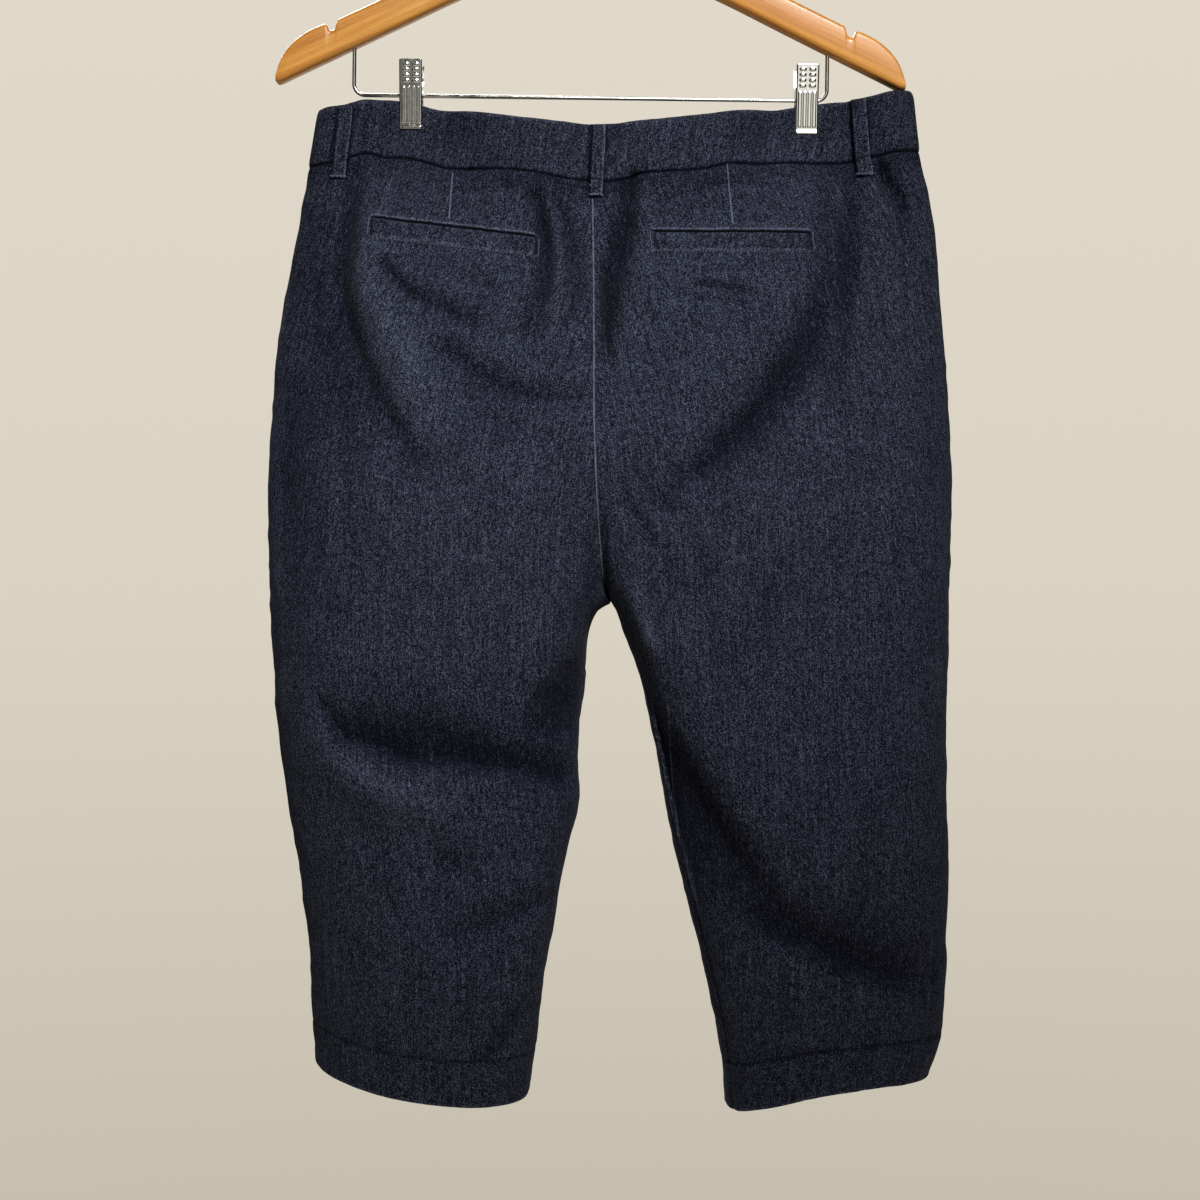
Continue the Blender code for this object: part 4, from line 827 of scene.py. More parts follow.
def eased(grid, levels):
    """Evens out the rows round the crotch, away from the seams, where they change shape quickly."""
    along = lengths(grid, 1)
    middle = smooth((along[:, -1:] - along) / EASE_FROM_SEAM) * smooth(along / EASE_FROM_SEAM)
    near = smooth((levels - EASE_TOP) / EASE_BLEND) * smooth((EASE_LOW - levels) / EASE_BLEND)
    weight = (middle * near[:, None])[1:-1, :, None]
    for _ in range(EASE_PASSES):
        grid[1:-1] += weight * EASE_RATE * (grid[:-2] - 2 * grid[1:-1] + grid[2:])
    return grid


def bare_cloth(panel, levels):
    """A panel or a stretch of the band as it would hang with no folds."""
    evened = np.linspace(0, 1, COLUMNS[panel.split("_")[0]] + 1)
    base = np.stack([evenly(dense_row(panel, level), evened) for level in levels])
    if len(levels) != BAND_ROWS:
        base = eased(base, levels)
    along = lengths(base, 1)
    weave = np.stack([along, lengths(base, 0), 0 * along], axis=-1)
    return Cloth(base, grid_normals(base, outward_of(panel)), weave)


def folded(cloth, panel, rise):
    """The cloth with its folds pressed straight in or out, and its fine relief along its own normals."""
    base = cloth.points
    outward = outward_of(panel)
    folds = fold_offsets(panel, base) * (1 - pinch(base[..., 0], base[..., 2]))
    folds = folds * smooth(lengths(base, 1) / SEAM_CALM)
    if rise.shape[0] != BAND_ROWS:
        along = cloth.weave[..., 0]
        folds = folds * smooth((along[:, -1:] - along) / SEAM_CALM)
    folds = np.maximum(folds, -FOLD_LIMIT * np.abs(base[..., 1]))
    grid = base + cloth.normals * rise[..., None]
    grid[..., 1] += outward * folds
    weave = cloth.weave.copy()
    # painted shade in the troughs of the folds, and paler faded ridges
    weave[..., 2] = np.clip(folds / FOLD_SHADE_DEPTH, -1, FADE_MOST)
    normals = grid_normals(grid, outward)
    normals[:, [0, -1]] = cloth.normals[:, [0, -1]]  # neighbours share these, so no gap opens
    return Cloth(grid, normals, weave)


# Fine relief, mm. Pressed denim is uneven on several scales: (size of the cells, height).
UNEVEN = [(24, 0.80), (10, 0.42), (4.5, 0.16)]
PUCKER_CELL, PUCKER_HIGH, PUCKER_FROM_SEAM, PUCKER_WIDE = 7, 0.35, 6, 5
GATHER_START = 3.0
# Fullness gathered into the band: on every panel, and more of it, drawn aslant, on the back ones.
GATHERS = Table(
    "seed slant long cell high below over",
    [
        (5, 0.0, 4, 8, 0.55, 7, 9),
        (7, 0.5, 3, 7, 0.90, 12, 16),
    ],
)
ALLOWANCE_RUN, ALLOWANCE_BLEND, ALLOWANCE_HIGH = (2, 13), (2, 3), 0.25  # pressed open at the side seams
RAISED_SEAM_LOW, RAISED_SEAM_GROOVE = 480, 0.4  # the seat's seam has less of a groove down to there
BAND_GROOVE, BAND_GROOVE_WIDE = 0.8, 2.2  # under the waistband
CROTCH_CREASE, CROTCH_CREASE_WIDE = 5.0, 4.0
CROTCH_CREASE_RUN, CROTCH_CREASE_BLEND = (488, 560), (30, 25)
BAND_PROUD = 0.7


def outer_way(panel):
    """The way in x from the centre to a panel's side seam."""
    return -1 if panel.endswith("left") else 1


def unevenness(panel, x, drop, from_side, from_centre, down, seed):
    """The unevenness of the cloth, the puckers along its seams and the fullness under the band."""
    rise = sum(high * ripple(x, drop, cell, seed + k) for k, (cell, high) in enumerate(UNEVEN))
    rise *= smooth(np.minimum(from_side, from_centre) / SEAM_CALM) * smooth(down / SEAM_CALM)
    for k, away in enumerate((from_side, from_centre)):
        pucker = ripple(drop, away, PUCKER_CELL, seed + len(UNEVEN) + k)
        rise += PUCKER_HIGH * pucker * hump(away, PUCKER_FROM_SEAM, PUCKER_WIDE)
    for number, slant, long, cell, high, below, over in GATHERS.rows[: 1 + panel.startswith("back")]:
        drawn = ripple(x - slant * drop * outer_way(panel), drop / long, cell, seed + int(number))
        rise += high * drawn * hump(down, below, over) * smooth(down / GATHER_START)
    return rise


def seam_relief(panel, levels, from_side, from_centre, down):
    """The grooves along the seams, the side seam's allowance, and the crease that runs to the crotch."""
    (start, end), (blend_in, blend_out) = ALLOWANCE_RUN, ALLOWANCE_BLEND
    allowance = smooth((from_side - start) / blend_in) * smooth((end - from_side) / blend_out)
    raised = (levels < RAISED_SEAM_LOW)[:, None] * panel.startswith("back")
    rise = ALLOWANCE_HIGH * allowance + seam_groove(from_side)
    rise += seam_groove(from_centre) * (1 - (1 - RAISED_SEAM_GROOVE) * raised)
    rise -= BAND_GROOVE * hump(down, 0, BAND_GROOVE_WIDE)
    (start, end), (blend_in, blend_out) = CROTCH_CREASE_RUN, CROTCH_CREASE_BLEND
    near_crotch = smooth((levels - start) / blend_in) * (1 - smooth((levels - end) / blend_out))
    return rise - CROTCH_CREASE * near_crotch[:, None] * hump(from_centre, 0, CROTCH_CREASE_WIDE)


def panel_cloth(panel, levels, cloth):
    """A panel with its folds, its seams sunk a little, its fine relief and its wear."""
    base = cloth.points
    along, down = cloth.weave[..., 0], cloth.weave[..., 1]
    from_side, from_centre = along, along[:, -1:] - along
    seed = PANELS.index(panel) * 10
    x, drop = base[..., 0], base[..., 2]
    rise = unevenness(panel, x, drop, from_side, from_centre, down, seed)
    rise += seam_relief(panel, levels, from_side, from_centre, down)
    rise += hem_relief(base, levels, seed)
    if panel.startswith("back"):
        rise += around_welt(panel, x, drop, seed)
    made = folded(cloth, panel, rise)
    made.weave[..., 2] += panel_fade_and_shade(panel, levels, x, drop, down)
    return made


# The weave's third place makes the cloth paler (1) or darker (-1): fading, and painted shade in folds,
# under the band, beside the loops and seams and along slits.
# Painted shade under the band, over the top of the back panels below it, in the hem's line and beside the
# belt loops; the hem's edge is faded.
BAND_SHADE, BAND_SHADE_WIDE = 2.0, 1.2
YOKE_SHADE, YOKE_SHADE_WIDE = 0.4, 15.0
HEM_FADE, HEM_FADE_WIDE, HEM_LINE_SHADE, HEM_LINE_WIDE = 0.7, 1.6, 0.7, 1.2
LOOP_SHADE, LOOP_SHADE_AWAY, LOOP_SHADE_WIDE = 1.1, 0.5, 1.5
LOOP_SHADE_ENDS = (0.04, 0.03, 0.04)  # of a loop's length: above it, below it, and how softly it ends


def panel_fade_and_shade(panel, levels, x, drop, down):
    """Painted shade under the band and loops, over the top of the back panels and in the hem's line, and a
    faded edge at the hem.
    """
    level = levels[:, None]
    wear = -BAND_SHADE * hump(down, 0, BAND_SHADE_WIDE) - LOOP_SHADE * beside_loops(panel, x, drop)
    if panel.startswith("back"):
        wear -= YOKE_SHADE * hump(down, 0, YOKE_SHADE_WIDE)
    wear += HEM_FADE * smooth((level - HEM + HEM_FADE_WIDE) / HEM_FADE_WIDE)
    return wear - HEM_LINE_SHADE * hump(level, HEM_TOP, HEM_LINE_WIDE)


# Short upright puckers along a welt's sewn edges: (seed, stretch, cell, height, from the welt, over).
WELT_PUCKERS = {"above": (8, 4, 5.5, 0.7, -5, 7), "below": (9, 5, 4.5, 0.8, 3, 5)}
WELT_PUCKER_END = 0.06  # of a welt's length, past either end


def around_welt(panel, x, drop, seed):
    """The short upright puckers of the cloth along a welt's two sewn edges."""
    top_left, top_right, low_right, _ = WELT_CORNERS["welt_" + panel.split("_")[1]]
    share = (x - top_left[0]) / (top_right[0] - top_left[0])
    top = top_left[1] + (top_right[1] - top_left[1]) * share
    low = top + low_right[1] - top_right[1]
    rise = np.zeros_like(x)
    for edge, name in ((top, "above"), (low, "below")):
        number, long, cell, high, away, over = WELT_PUCKERS[name]
        rise += high * hump(drop - edge, away, over) * ripple(x, drop / long, cell, seed + number)
    return rise * within(share, WELT_PUCKER_END, WELT_PUCKER_END, WELT_PUCKER_END)


def within(share, before, after, soft):
    """1 from 0 to 1, and 0 by "before" and "after" outside them."""
    return smooth((share + before) / soft) * smooth((1 + after - share) / soft)


HEM_LINE_DEEP, HEM_DIMPLE_DEEP, HEM_LINE_SOFT, HEM_DIMPLE_PITCH = 0.25, 0.35, 1.3, 7.0
HEM_FULL, HEM_FULL_BLEND, HEM_DRAWN, HEM_DRAWN_CELL, HEM_DRAWN_BLEND = 0.25, 3.0, 0.35, 13, 4.0
HEM_SEED = 6


def hem_relief(base, levels, seed):
    """The blind-stitched line above the hem, its dimples, and the fullness of the turned-up layer."""
    past = levels[:, None] - HEM_TOP
    along = lengths(base, 1)
    dimple = 0.5 + 0.5 * np.cos(2 * math.pi * along / HEM_DIMPLE_PITCH)
    drawn = ripple(along, past * 0, HEM_DRAWN_CELL, seed + HEM_SEED) * smooth(past / HEM_DRAWN_BLEND)
    full = HEM_FULL * smooth(past / HEM_FULL_BLEND) + HEM_DRAWN * drawn
    return full - hump(past, 0, HEM_LINE_SOFT) * (HEM_LINE_DEEP + HEM_DIMPLE_DEEP * dimple)


BAND_UNEVEN = [(15, 0.35), (6, 0.2)]  # (size of the cells, height)
BAND_SEEDS, BAND_ROUND, BAND_END_GROOVE = 50, 9, 0.6
BAND_WEAVE_UP = 60  # the band's weave lies this far above its panel's
# a faded top edge, and painted shade along the band's seam
BAND_EDGE_FADE, BAND_EDGE_WIDE, BAND_SEAM_SHADE = 0.35, 1.5, 1.6


def band_cloth(panel, cloth):
    """A stretch of the waistband, proud of the panels between its two edges."""
    base = cloth.points
    along, down = cloth.weave[..., 0], cloth.weave[..., 1]
    share = down / down[-1:]
    x, drop = base[..., 0], base[..., 2]
    seed = BAND_SEEDS + PANELS.index(panel) * 10
    rise = sum(high * ripple(x, drop, cell, seed + k) for k, (cell, high) in enumerate(BAND_UNEVEN))
    rise *= (1 - pinch(x, drop)) * smooth(along / SEAM_CALM)
    rise += BAND_PROUD * (1 - power(np.abs(2 * share - 1), BAND_ROUND))
    rise += seam_groove(along) * BAND_END_GROOVE
    made = folded(cloth, panel, rise)
    made.weave[..., 1] = down - BAND_WEAVE_UP
    made.weave[..., 2] += BAND_EDGE_FADE * hump(down, 0, BAND_EDGE_WIDE)
    # painted shade along the band's seam, and beside the belt loops
    made.weave[-1, :, 2] -= BAND_SEAM_SHADE
    made.weave[..., 2] -= LOOP_SHADE * beside_loops(panel, x, drop)
    return made


def beside_loops(panel, x, drop):
    """1 where painted shade lies beside a belt loop's edges, and 0 away from them."""
    near = np.zeros_like(x)
    for is_front, top_x, top_drop, low_x, low_drop in LOOPS.rows:
        if is_front != panel.startswith("front"):
            continue
        share = (drop - top_drop) / (low_drop - top_drop)
        off = np.abs(x - top_x - (low_x - top_x) * share) - LOOP_WIDE / 2
        shade = hump(off, LOOP_SHADE_AWAY, LOOP_SHADE_WIDE)
        near = np.maximum(near, within(share, *LOOP_SHADE_ENDS) * shade)
    return near


def share_directions(cloths, bands, levels):
    """Neighbours get the same directions along the seam between them, so no gap opens there."""
    torso = levels <= CROTCH

    def same(*edges):
        mean = unit(sum(cloth.normals[where] for cloth, where in edges))
        for cloth, where in edges:
            cloth.normals[where] = mean

    for side in ("left", "right"):
        back, front = f"back_{side}", f"front_{side}"
        for cloth in (cloths, bands):
            same((cloth[back], np.s_[:, 0]), (cloth[front], np.s_[:, 0]))
        same((cloths[back], np.s_[~torso, -1]), (cloths[front], np.s_[~torso, -1]))
    for name in ("back", "front"):
        left, right = f"{name}_left", f"{name}_right"
        same((cloths[left], np.s_[torso, -1]), (cloths[right], np.s_[torso, -1]))
        same((bands[left], np.s_[:, -1]), (bands[right], np.s_[:, -1]))


# ------------------------------------------------------------------ meshes
def to_world(points):
    return np.stack([points[..., 0] + GARMENT_X, points[..., 1], -points[..., 2]], axis=-1) * MM


def tilted(points):
    """The hanger's own (across, out, down) to metres, about the hook's contact."""
    across, out, down = points[..., 0], points[..., 1], points[..., 2]
    x = across * math.cos(TILT) - down * math.sin(TILT)
    z = -(across * math.sin(TILT) + down * math.cos(TILT))
    return np.stack([x, out, z], axis=-1) * MM


def add_object(name, data):
    """An object in the scene."""
    obj = bpy.data.objects.new(name, data)
    bpy.context.scene.collection.objects.link(obj)
    return obj


def add_mesh(name, points, faces, materials, weave=None, kinds=None, sharp=45):
    """A mesh object that rides on the body. weave is each point's place in mm, and its fading, painted
    shade and painted highlights if it has a third column; kinds picks materials."""
    mesh = bpy.data.meshes.new(name)
    mesh.from_pydata(np.asarray(points).reshape(-1, 3).tolist(), [], faces)
    for made_of in materials:
        mesh.materials.append(made_of)
    if kinds is not None:
        mesh.polygons.foreach_set("material_index", kinds)
    if weave is not None:
        corners = np.zeros(len(mesh.loops), int)
        mesh.loops.foreach_get("vertex_index", corners)
        marks = np.asarray(weave)
        marks = marks.reshape(-1, marks.shape[-1])[corners]
        layer = mesh.uv_layers.new(name="weave")
        layer.data.foreach_set("uv", (marks[:, :2] * MM).ravel())
        if marks.shape[1] > 2:
            layer = mesh.uv_layers.new(name="wear")
            layer.data.foreach_set("uv", np.repeat(marks[:, 2:], 2, axis=1).ravel())
    mesh.shade_smooth()
    mesh.set_sharp_from_angle(angle=math.radians(sharp))
    obj = add_object(name, mesh)
    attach(obj, "root")
    return obj


def grid_faces(rows, columns, closed=False):
    """The faces of a grid; a closed one runs on from its last row to its first."""
    faces = []
    for r in range(rows if closed else rows - 1):
        s = (r + 1) % rows
        for c in range(columns - 1):
            faces.append((r * columns + c, s * columns + c, s * columns + c + 1, r * columns + c + 1))
    return faces


def shell(name, outer, inner, weave, materials, round_top=0, round_low=0, place=to_world, sharp=50):
    """A closed sheet between two grids, with its top and lower edges turned over in half rounds."""

    def turned(first, last, before, steps):
        """Rows of a half round from one layer's edge to the other's, standing past the edge."""
        if not steps:
            return []
        middle, half = (first + last) / 2, (first - last) / 2
        past = unit(first - before) * np.linalg.norm(half, axis=-1, keepdims=True)
        angles = np.linspace(0, math.pi, steps + 2)[1:-1]
        return [middle + half * math.cos(a) + past * math.sin(a) for a in angles]

    low = turned(outer[-1], inner[-1], outer[-2], round_low)
    top = turned(inner[0], outer[0], inner[1], round_top)
    rows = list(outer) + low + list(inner[::-1]) + top
    marks = list(weave) + [weave[-1]] * len(low) + list(weave[::-1]) + [weave[0]] * len(top)
    rows, marks = np.array(rows), np.array(marks)
    count, columns = rows.shape[:2]
    deep = len(outer)
    faces = grid_faces(count, columns, closed=True)
    kinds = []
    for r in range(count):
        inside = deep + len(low) <= r < deep + len(low) + deep - 1 and len(materials) > 1
        edge = min(ALLOWANCE, (columns - 1) // 2)
        kinds += [0] * edge + [1 if inside else 0] * (columns - 1 - 2 * edge) + [0] * edge
    last = deep + len(low) + deep - 1
    for column, way in ((0, 1), (columns - 1, -1)):
        for r in range(deep - 1):
            a, b = r * columns + column, (r + 1) * columns + column
            c, d = (last - r - 1) * columns + column, (last - r) * columns + column
            faces.append((a, d, c, b)[::way])
        if low:
            loop = [r * columns + column for r in range(deep - 1, deep + len(low) + 1)]
            faces.append(tuple(loop[::-way]))
        if top:
            loop = [last * columns + column]
            loop += [r * columns + column for r in range(last + 1, count)] + [column]
            faces.append(tuple(loop[::-way]))
    kinds += [0] * (len(faces) - len(kinds))
    obj = add_mesh(name, place(rows), faces, materials, marks, kinds, sharp)
    return outward_faces(obj)


def outward_faces(obj):
    """Turns a closed mesh the right way out."""
    mesh = obj.data
    points = np.zeros(len(mesh.vertices) * 3)
    mesh.vertices.foreach_get("co", points)
    points = points.reshape(-1, 3)
    mesh.calc_loop_triangles()
    corners = np.zeros(len(mesh.loop_triangles) * 3, int)
    mesh.loop_triangles.foreach_get("vertices", corners)
    a, b, c = (points[corners[k::3]] for k in range(3))
    if (np.cross(a, b) * c).sum() < 0:
        mesh.flip_normals()
    return obj


def ring_solid(name, rings, materials, place=tilted, weave=None, sharp=40):
    """A closed solid through rings of equal length."""
    count, sides = rings.shape[:2]
    faces = []
    for r in range(count - 1):
        for c in range(sides):
            d = (c + 1) % sides
            faces.append((r * sides + c, r * sides + d, (r + 1) * sides + d, (r + 1) * sides + c))
    faces.append(tuple(range(sides))[::-1])
    faces.append(tuple((count - 1) * sides + c for c in range(sides)))
    return outward_faces(add_mesh(name, place(rings), faces, materials, weave, sharp=sharp))


# ------------------------------------------------------------------ node helpers
class Nodes:
    """Short calls for building a tree of nodes."""

    def __init__(self, tree):
        self.tree = tree

    def node(self, kind, **settings):
        made = self.tree.nodes.new(kind)
        for key, value in settings.items():
            setattr(made, key, value)
        return made

    def join(self, source, target):
        self.tree.links.new(source, target)

    def uv_map(self, name):
        return self.node("ShaderNodeUVMap", uv_map=name).outputs["UV"]

    def mapped(self, vector, scale, lean=0, **settings):
        """A vector scaled, and turned by some degrees."""
        mapping = self.node("ShaderNodeMapping", **settings)
        mapping.inputs["Scale"].default_value = scale
        mapping.inputs["Rotation"].default_value = (0, 0, math.radians(lean))
        self.join(vector, mapping.inputs["Vector"])
        return mapping.outputs["Vector"]

    def uv(self, scale):
        """Places on the flat cloth in metres, scaled, so that 1000 gives mm."""
        return self.mapped(self.uv_map("weave"), scale)

    def place(self, scale):
        """Places in the part in metres, scaled."""
        return self.mapped(self.node("ShaderNodeTexCoord").outputs["Object"], scale)

    def flecks(self, wide, long, lean):
        """A random value for each yarn crossing, of this size in mm, leaning by some degrees."""
        size = (wide * MM, long * MM, 1)
        vector = self.mapped(self.uv_map("weave"), size, lean, vector_type="TEXTURE")
        cells = self.node("ShaderNodeTexVoronoi")
        cells.inputs["Scale"].default_value = 1.0
        self.join(vector, cells.inputs["Vector"])
        parts = self.node("ShaderNodeSeparateColor")
        self.join(cells.outputs["Color"], parts.inputs["Color"])
        return parts.outputs["Red"]

    def noise(self, vector, detail=2.0, roughness=0.5):
        made = self.node("ShaderNodeTexNoise")
        made.inputs["Scale"].default_value = 1.0
        made.inputs["Detail"].default_value = detail
        made.inputs["Roughness"].default_value = roughness
        self.join(vector, made.inputs["Vector"])
        return made.outputs["Fac"]

    def math(self, operation, first, second):
        made = self.node("ShaderNodeMath", operation=operation)
        for socket, value in zip(made.inputs, (first, second)):
            if isinstance(value, (int, float)):
                socket.default_value = value
            else:
                self.join(value, socket)
        return made.outputs["Value"]

    def blend(self, parts):
        """The sum of (value, weight) parts."""
        total = None
        for value, weight in parts:
            part = self.math("MULTIPLY", value, weight)
            total = part if total is None else self.math("ADD", total, part)
        return total

    def spread(self, value, low, high, to_low=0.0, to_high=1.0):
        made = self.node("ShaderNodeMapRange")
        sockets = ("From Min", "From Max", "To Min", "To Max")
        for socket, number in zip(sockets, (low, high, to_low, to_high)):
            made.inputs[socket].default_value = number
        self.join(value, made.inputs["Value"])
        return made.outputs["Result"]

    def ramp(self, value, *stops):
        """Stops are (place, linear colour)."""
        made = self.node("ShaderNodeValToRGB")
        elements = made.color_ramp.elements
        while len(elements) < len(stops):
            elements.new(0.5)
        for element, (place, colour) in zip(elements, stops):
            element.position = place
            element.color = (*colour, 1)
        self.join(value, made.inputs["Fac"])
        return made.outputs["Color"]


class Shader(Nodes):
    """One material's nodes."""

    def __init__(self, name, **uniform):
        self.material = bpy.data.materials.new(name)
        self.material.use_nodes = True
        super().__init__(self.material.node_tree)
        self.surface = self.tree.nodes["Principled BSDF"]
        for key, value in uniform.items():
            self.surface.inputs[key.replace("_", " ")].default_value = value

    def bump(self, height, distance, strength):
        made = self.node("ShaderNodeBump")
        made.inputs["Distance"].default_value = distance
        made.inputs["Strength"].default_value = strength
        self.join(height, made.inputs["Height"])
        self.join(made.outputs["Normal"], self.surface.inputs["Normal"])

    def colour(self, output):
        self.join(output, self.surface.inputs["Base Color"])

    def rough(self, output):
        self.join(output, self.surface.inputs["Roughness"])


def srgb(*values):
    """0-255 screen colour to linear."""
    return tuple(((v / 255 + 0.055) / 1.055) ** 2.4 if v > 10 else v / 255 / 12.92 for v in values)


DENIM_DARK, DENIM_MID, DENIM_PALE = srgb(9, 11, 18), srgb(24, 27, 41), srgb(91, 97, 115)
# Yarn crossings, in mm and degrees: the weight of each in the colour, and its height in the bump.
YARNS = Table(
    "wide long lean weight height",
    [
        (0.46, 0.56, 24, 0.76, 0.7),
        (0.50, 3.00, 8, 0.24, 0.5),
    ],
)
DYE = [  # unevenness of yarn and dye: (scale across, along and out), detail, roughness, weight
    ((900, 60, 1000), 1.5, 0.60, 0.20),  # streaks
    ((800, 13, 1000), 1.0, 0.50, 0.33),  # upright slubs
    ((34, 30, 30), 3.0, 0.55, 0.10),  # clouds
    ((220, 150, 200), 2.0, 0.55, 0.05),  # patches
]
WEAR_AND_SHADE_WEIGHT, PALENESS = 0.22, -0.350


def denim(name, dark, mid, pale, paler=0.0):
    """Indigo warp with paler weft flecks: crossings, upright slubs and soft clouds."""
    s = Shader(name, Roughness=0.95, Sheen_Weight=0.03, Sheen_Roughness=0.45, Specular_IOR_Level=0.06)
    s.surface.inputs["Sheen Tint"].default_value = (0.55, 0.62, 0.8, 1)
    yarns = [s.flecks(wide, long, lean) for wide, long, lean, _, _ in YARNS.rows]
    tones = list(zip(yarns, YARNS.column("weight")))
    tones += [(s.noise(s.uv(scale), detail, rough), weight) for scale, detail, rough, weight in DYE]
    # the weave's third place: fading, and painted shade in folds, under the band and beside loops, seams
    # and slits, with painted highlights on the loops' right edges
    wear_and_shade_uv = s.node("ShaderNodeSeparateXYZ")
    s.join(s.uv_map("wear"), wear_and_shade_uv.inputs["Vector"])
    tones.append((wear_and_shade_uv.outputs["X"], WEAR_AND_SHADE_WEIGHT))
    value = s.math("ADD", s.blend(tones), PALENESS + paler)
    s.colour(s.ramp(value, (0.18, dark), (0.55, mid), (1.0, pale)))
    s.bump(s.blend(zip(yarns, YARNS.column("height"))), 0.0003, 0.4)
    return s.material


def thread(name, colour):
    s = Shader(name, Roughness=0.7, Sheen_Weight=0.2)
    twist = s.noise(s.place((2600, 2600, 900)), 1.0)
    s.colour(s.ramp(twist, (0.3, tuple(c * 0.6 for c in colour)), (0.7, colour)))
    return s.material


def tape_material():
    s = Shader("zip_tape", Roughness=0.85)
    rib = s.noise(s.uv((250, 1600, 1)), 1.0)
    s.colour(s.ramp(rib, (0.3, (0.010, 0.013, 0.024)), (0.7, (0.035, 0.042, 0.066))))
    s.bump(rib, 0.0003, 0.6)
    return s.material


def wood_material():
    """Lacquered beech: long grain, short pores, and a warm orange coat."""
    s = Shader("varnished_wood", Roughness=0.34, Coat_Weight=0.15, Coat_Roughness=0.12)
    grain = s.noise(s.uv((10, 260, 1)), 4.0, 0.62)
    rings = s.noise(s.uv((3, 55, 1)), 2.0, 0.5)
    pores = s.spread(s.noise(s.uv((160, 2600, 1)), 1.5, 0.7), 0.60, 0.72)
    value = s.blend([(grain, 0.5), (rings, 0.55), (pores, -0.16)])
    dark, mid, pale = srgb(178, 106, 33), srgb(222, 150, 60), srgb(252, 194, 96)
    s.colour(s.ramp(value, (0.28, dark), (0.52, mid), (0.74, pale)))
    s.rough(s.spread(grain, 0.3, 0.7, 0.28, 0.42))
    s.bump(value, 0.0004, 0.25)
    return s.material


METALS = {  # base colour, how fine its haze is, the haze's low end, and the roughness at both ends
    "chrome": ((0.66, 0.66, 0.65, 1), 300, 0.35, (0.08, 0.2)),
    "button_metal": ((0.34, 0.33, 0.31, 1), 900, 0.30, (0.25, 0.45)),
}


def metal(name):
    colour, fine, low, (smoothest, roughest) = METALS[name]
    s = Shader(name, Metallic=1.0)
    s.surface.inputs["Base Color"].default_value = colour
    haze = s.noise(s.place((fine, fine, fine)), 3.0)
    s.rough(s.spread(haze, low, 0.7, smoothest, roughest))
    return s.material


# ------------------------------------------------------------------ cloth pieces
FACE = denim("denim", DENIM_DARK, DENIM_MID, DENIM_PALE)
REVERSE = denim("denim_inside", srgb(52, 60, 78), srgb(96, 104, 120), srgb(168, 174, 182), 0.1)
NAVY_THREAD = thread("navy_thread", srgb(92, 104, 128))
PALE_THREAD = thread("pale_thread", srgb(112, 130, 156))
WOOD, CHROME = wood_material(), metal("chrome")
BUTTON, TAPE = metal("button_metal"), tape_material()

worn_by = {"back_left": [], "back_right": []}  # small pieces that are part of a panel


def stands_for(obj, node):
    """Puts a piece in the place of a node, by hiding the node."""
    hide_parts(node)


def panel_pieces(cloths, levels):
    thick = np.where(levels > HEM_TOP, CLOTH + HEM_LAYER, CLOTH)[:, None, None]
    for panel in PANELS:
        cloth = cloths[panel]
        inner = cloth.points - cloth.normals * thick
        obj = shell(f"{panel}_cloth", cloth.points, inner, cloth.weave, [FACE, REVERSE], round_low=3)
        stands_for(obj, panel)


def joined(left, right):
    """One cloth over both halves, from side seam to side seam."""
    across = right.weave[:, ::-1].copy()
    across[..., 0] = left.weave[:, -1:, 0] + right.weave[:, -1:, 0] - across[..., 0]
    return Cloth(
        np.concatenate([left.points, right.points[:, -2::-1]], axis=1),
        np.concatenate([left.normals, right.normals[:, -2::-1]], axis=1),
        np.concatenate([left.weave, across[:, 1:]], axis=1),
    )


def stacked(upper, lower):
    """One cloth over the band and the panels below it."""
    return Cloth(
        *(
            np.concatenate([getattr(upper, k), getattr(lower, k)[1:]])
            for k in ("points", "normals", "weave")
        )
    )


def band_piece(node, cloth):
    inner = cloth.points - cloth.normals * BAND
    obj = shell(f"{node}_cloth", cloth.points, inner, cloth.weave, [FACE], round_top=4, round_low=3)
    stands_for(obj, node)


def band_pieces(bands):
    """The back, the right front, and the left front, which runs on behind the right one."""
    band_piece("waistband_back", joined(bands["back_left"], bands["back_right"]))
    band_piece("waistband_front_right", bands["front_right"])
    whole = joined(bands["front_left"], bands["front_right"])
    middle = bands["front_left"].points.shape[1] - 1
    past = whole.points[..., 0] - whole.points[:, middle : middle + 1, 0]
    sunk = BAND + BAND_PROUD + LYING_GAP
    inward = sunk * smooth((past + UNDERLAP_STEP) / (UNDERLAP_STEP - UNDERLAP_CLEAR))
    keep = (past < UNDERLAP).all(axis=0)
    under = Cloth(
        (whole.points - whole.normals * inward[..., None])[:, keep],
        whole.normals[:, keep],
        whole.weave[:, keep],
    )
    band_piece("waistband_front_left", under)


# ------------------------------------------------------------------ trims, mm
LYING_GAP = 0.7
LOOP_WIDE, LOOP_THICK = 9.2, 1.5
LOOPS = Table(
    "front top_x top_drop low_x low_drop",
    [
        (0, -178.5, 211.0, -184.0, 260.5),
        (0, -0.8, 227.4, -3.0, 277.0),
        (0, 181.5, 205.5, 186.0, 258.5),
        (1, -92.0, 218.5, -90.5, 269.5),
        (1, 98.0, 218.0, 96.5, 269.0),
    ],
)
LOOP_NAMES = ("back_left", "back_centre", "back_right", "front_left", "front_right")
WELT_CORNERS = {  # top left, top right, lower right, lower left, as (x, drop)
    "welt_left": [(-158.5, 291.0), (-43.0, 306.0), (-43.5, 320.0), (-159.5, 304.5)],
    "welt_right": [(35.0, 302.5), (146.0, 302.0), (147.0, 315.5), (36.5, 316.0)],
}
WELT_DEEP, WELT_LONG = 14.0, 114.0
UNDERLAP = 30.0  # of the left front's band behind the right one
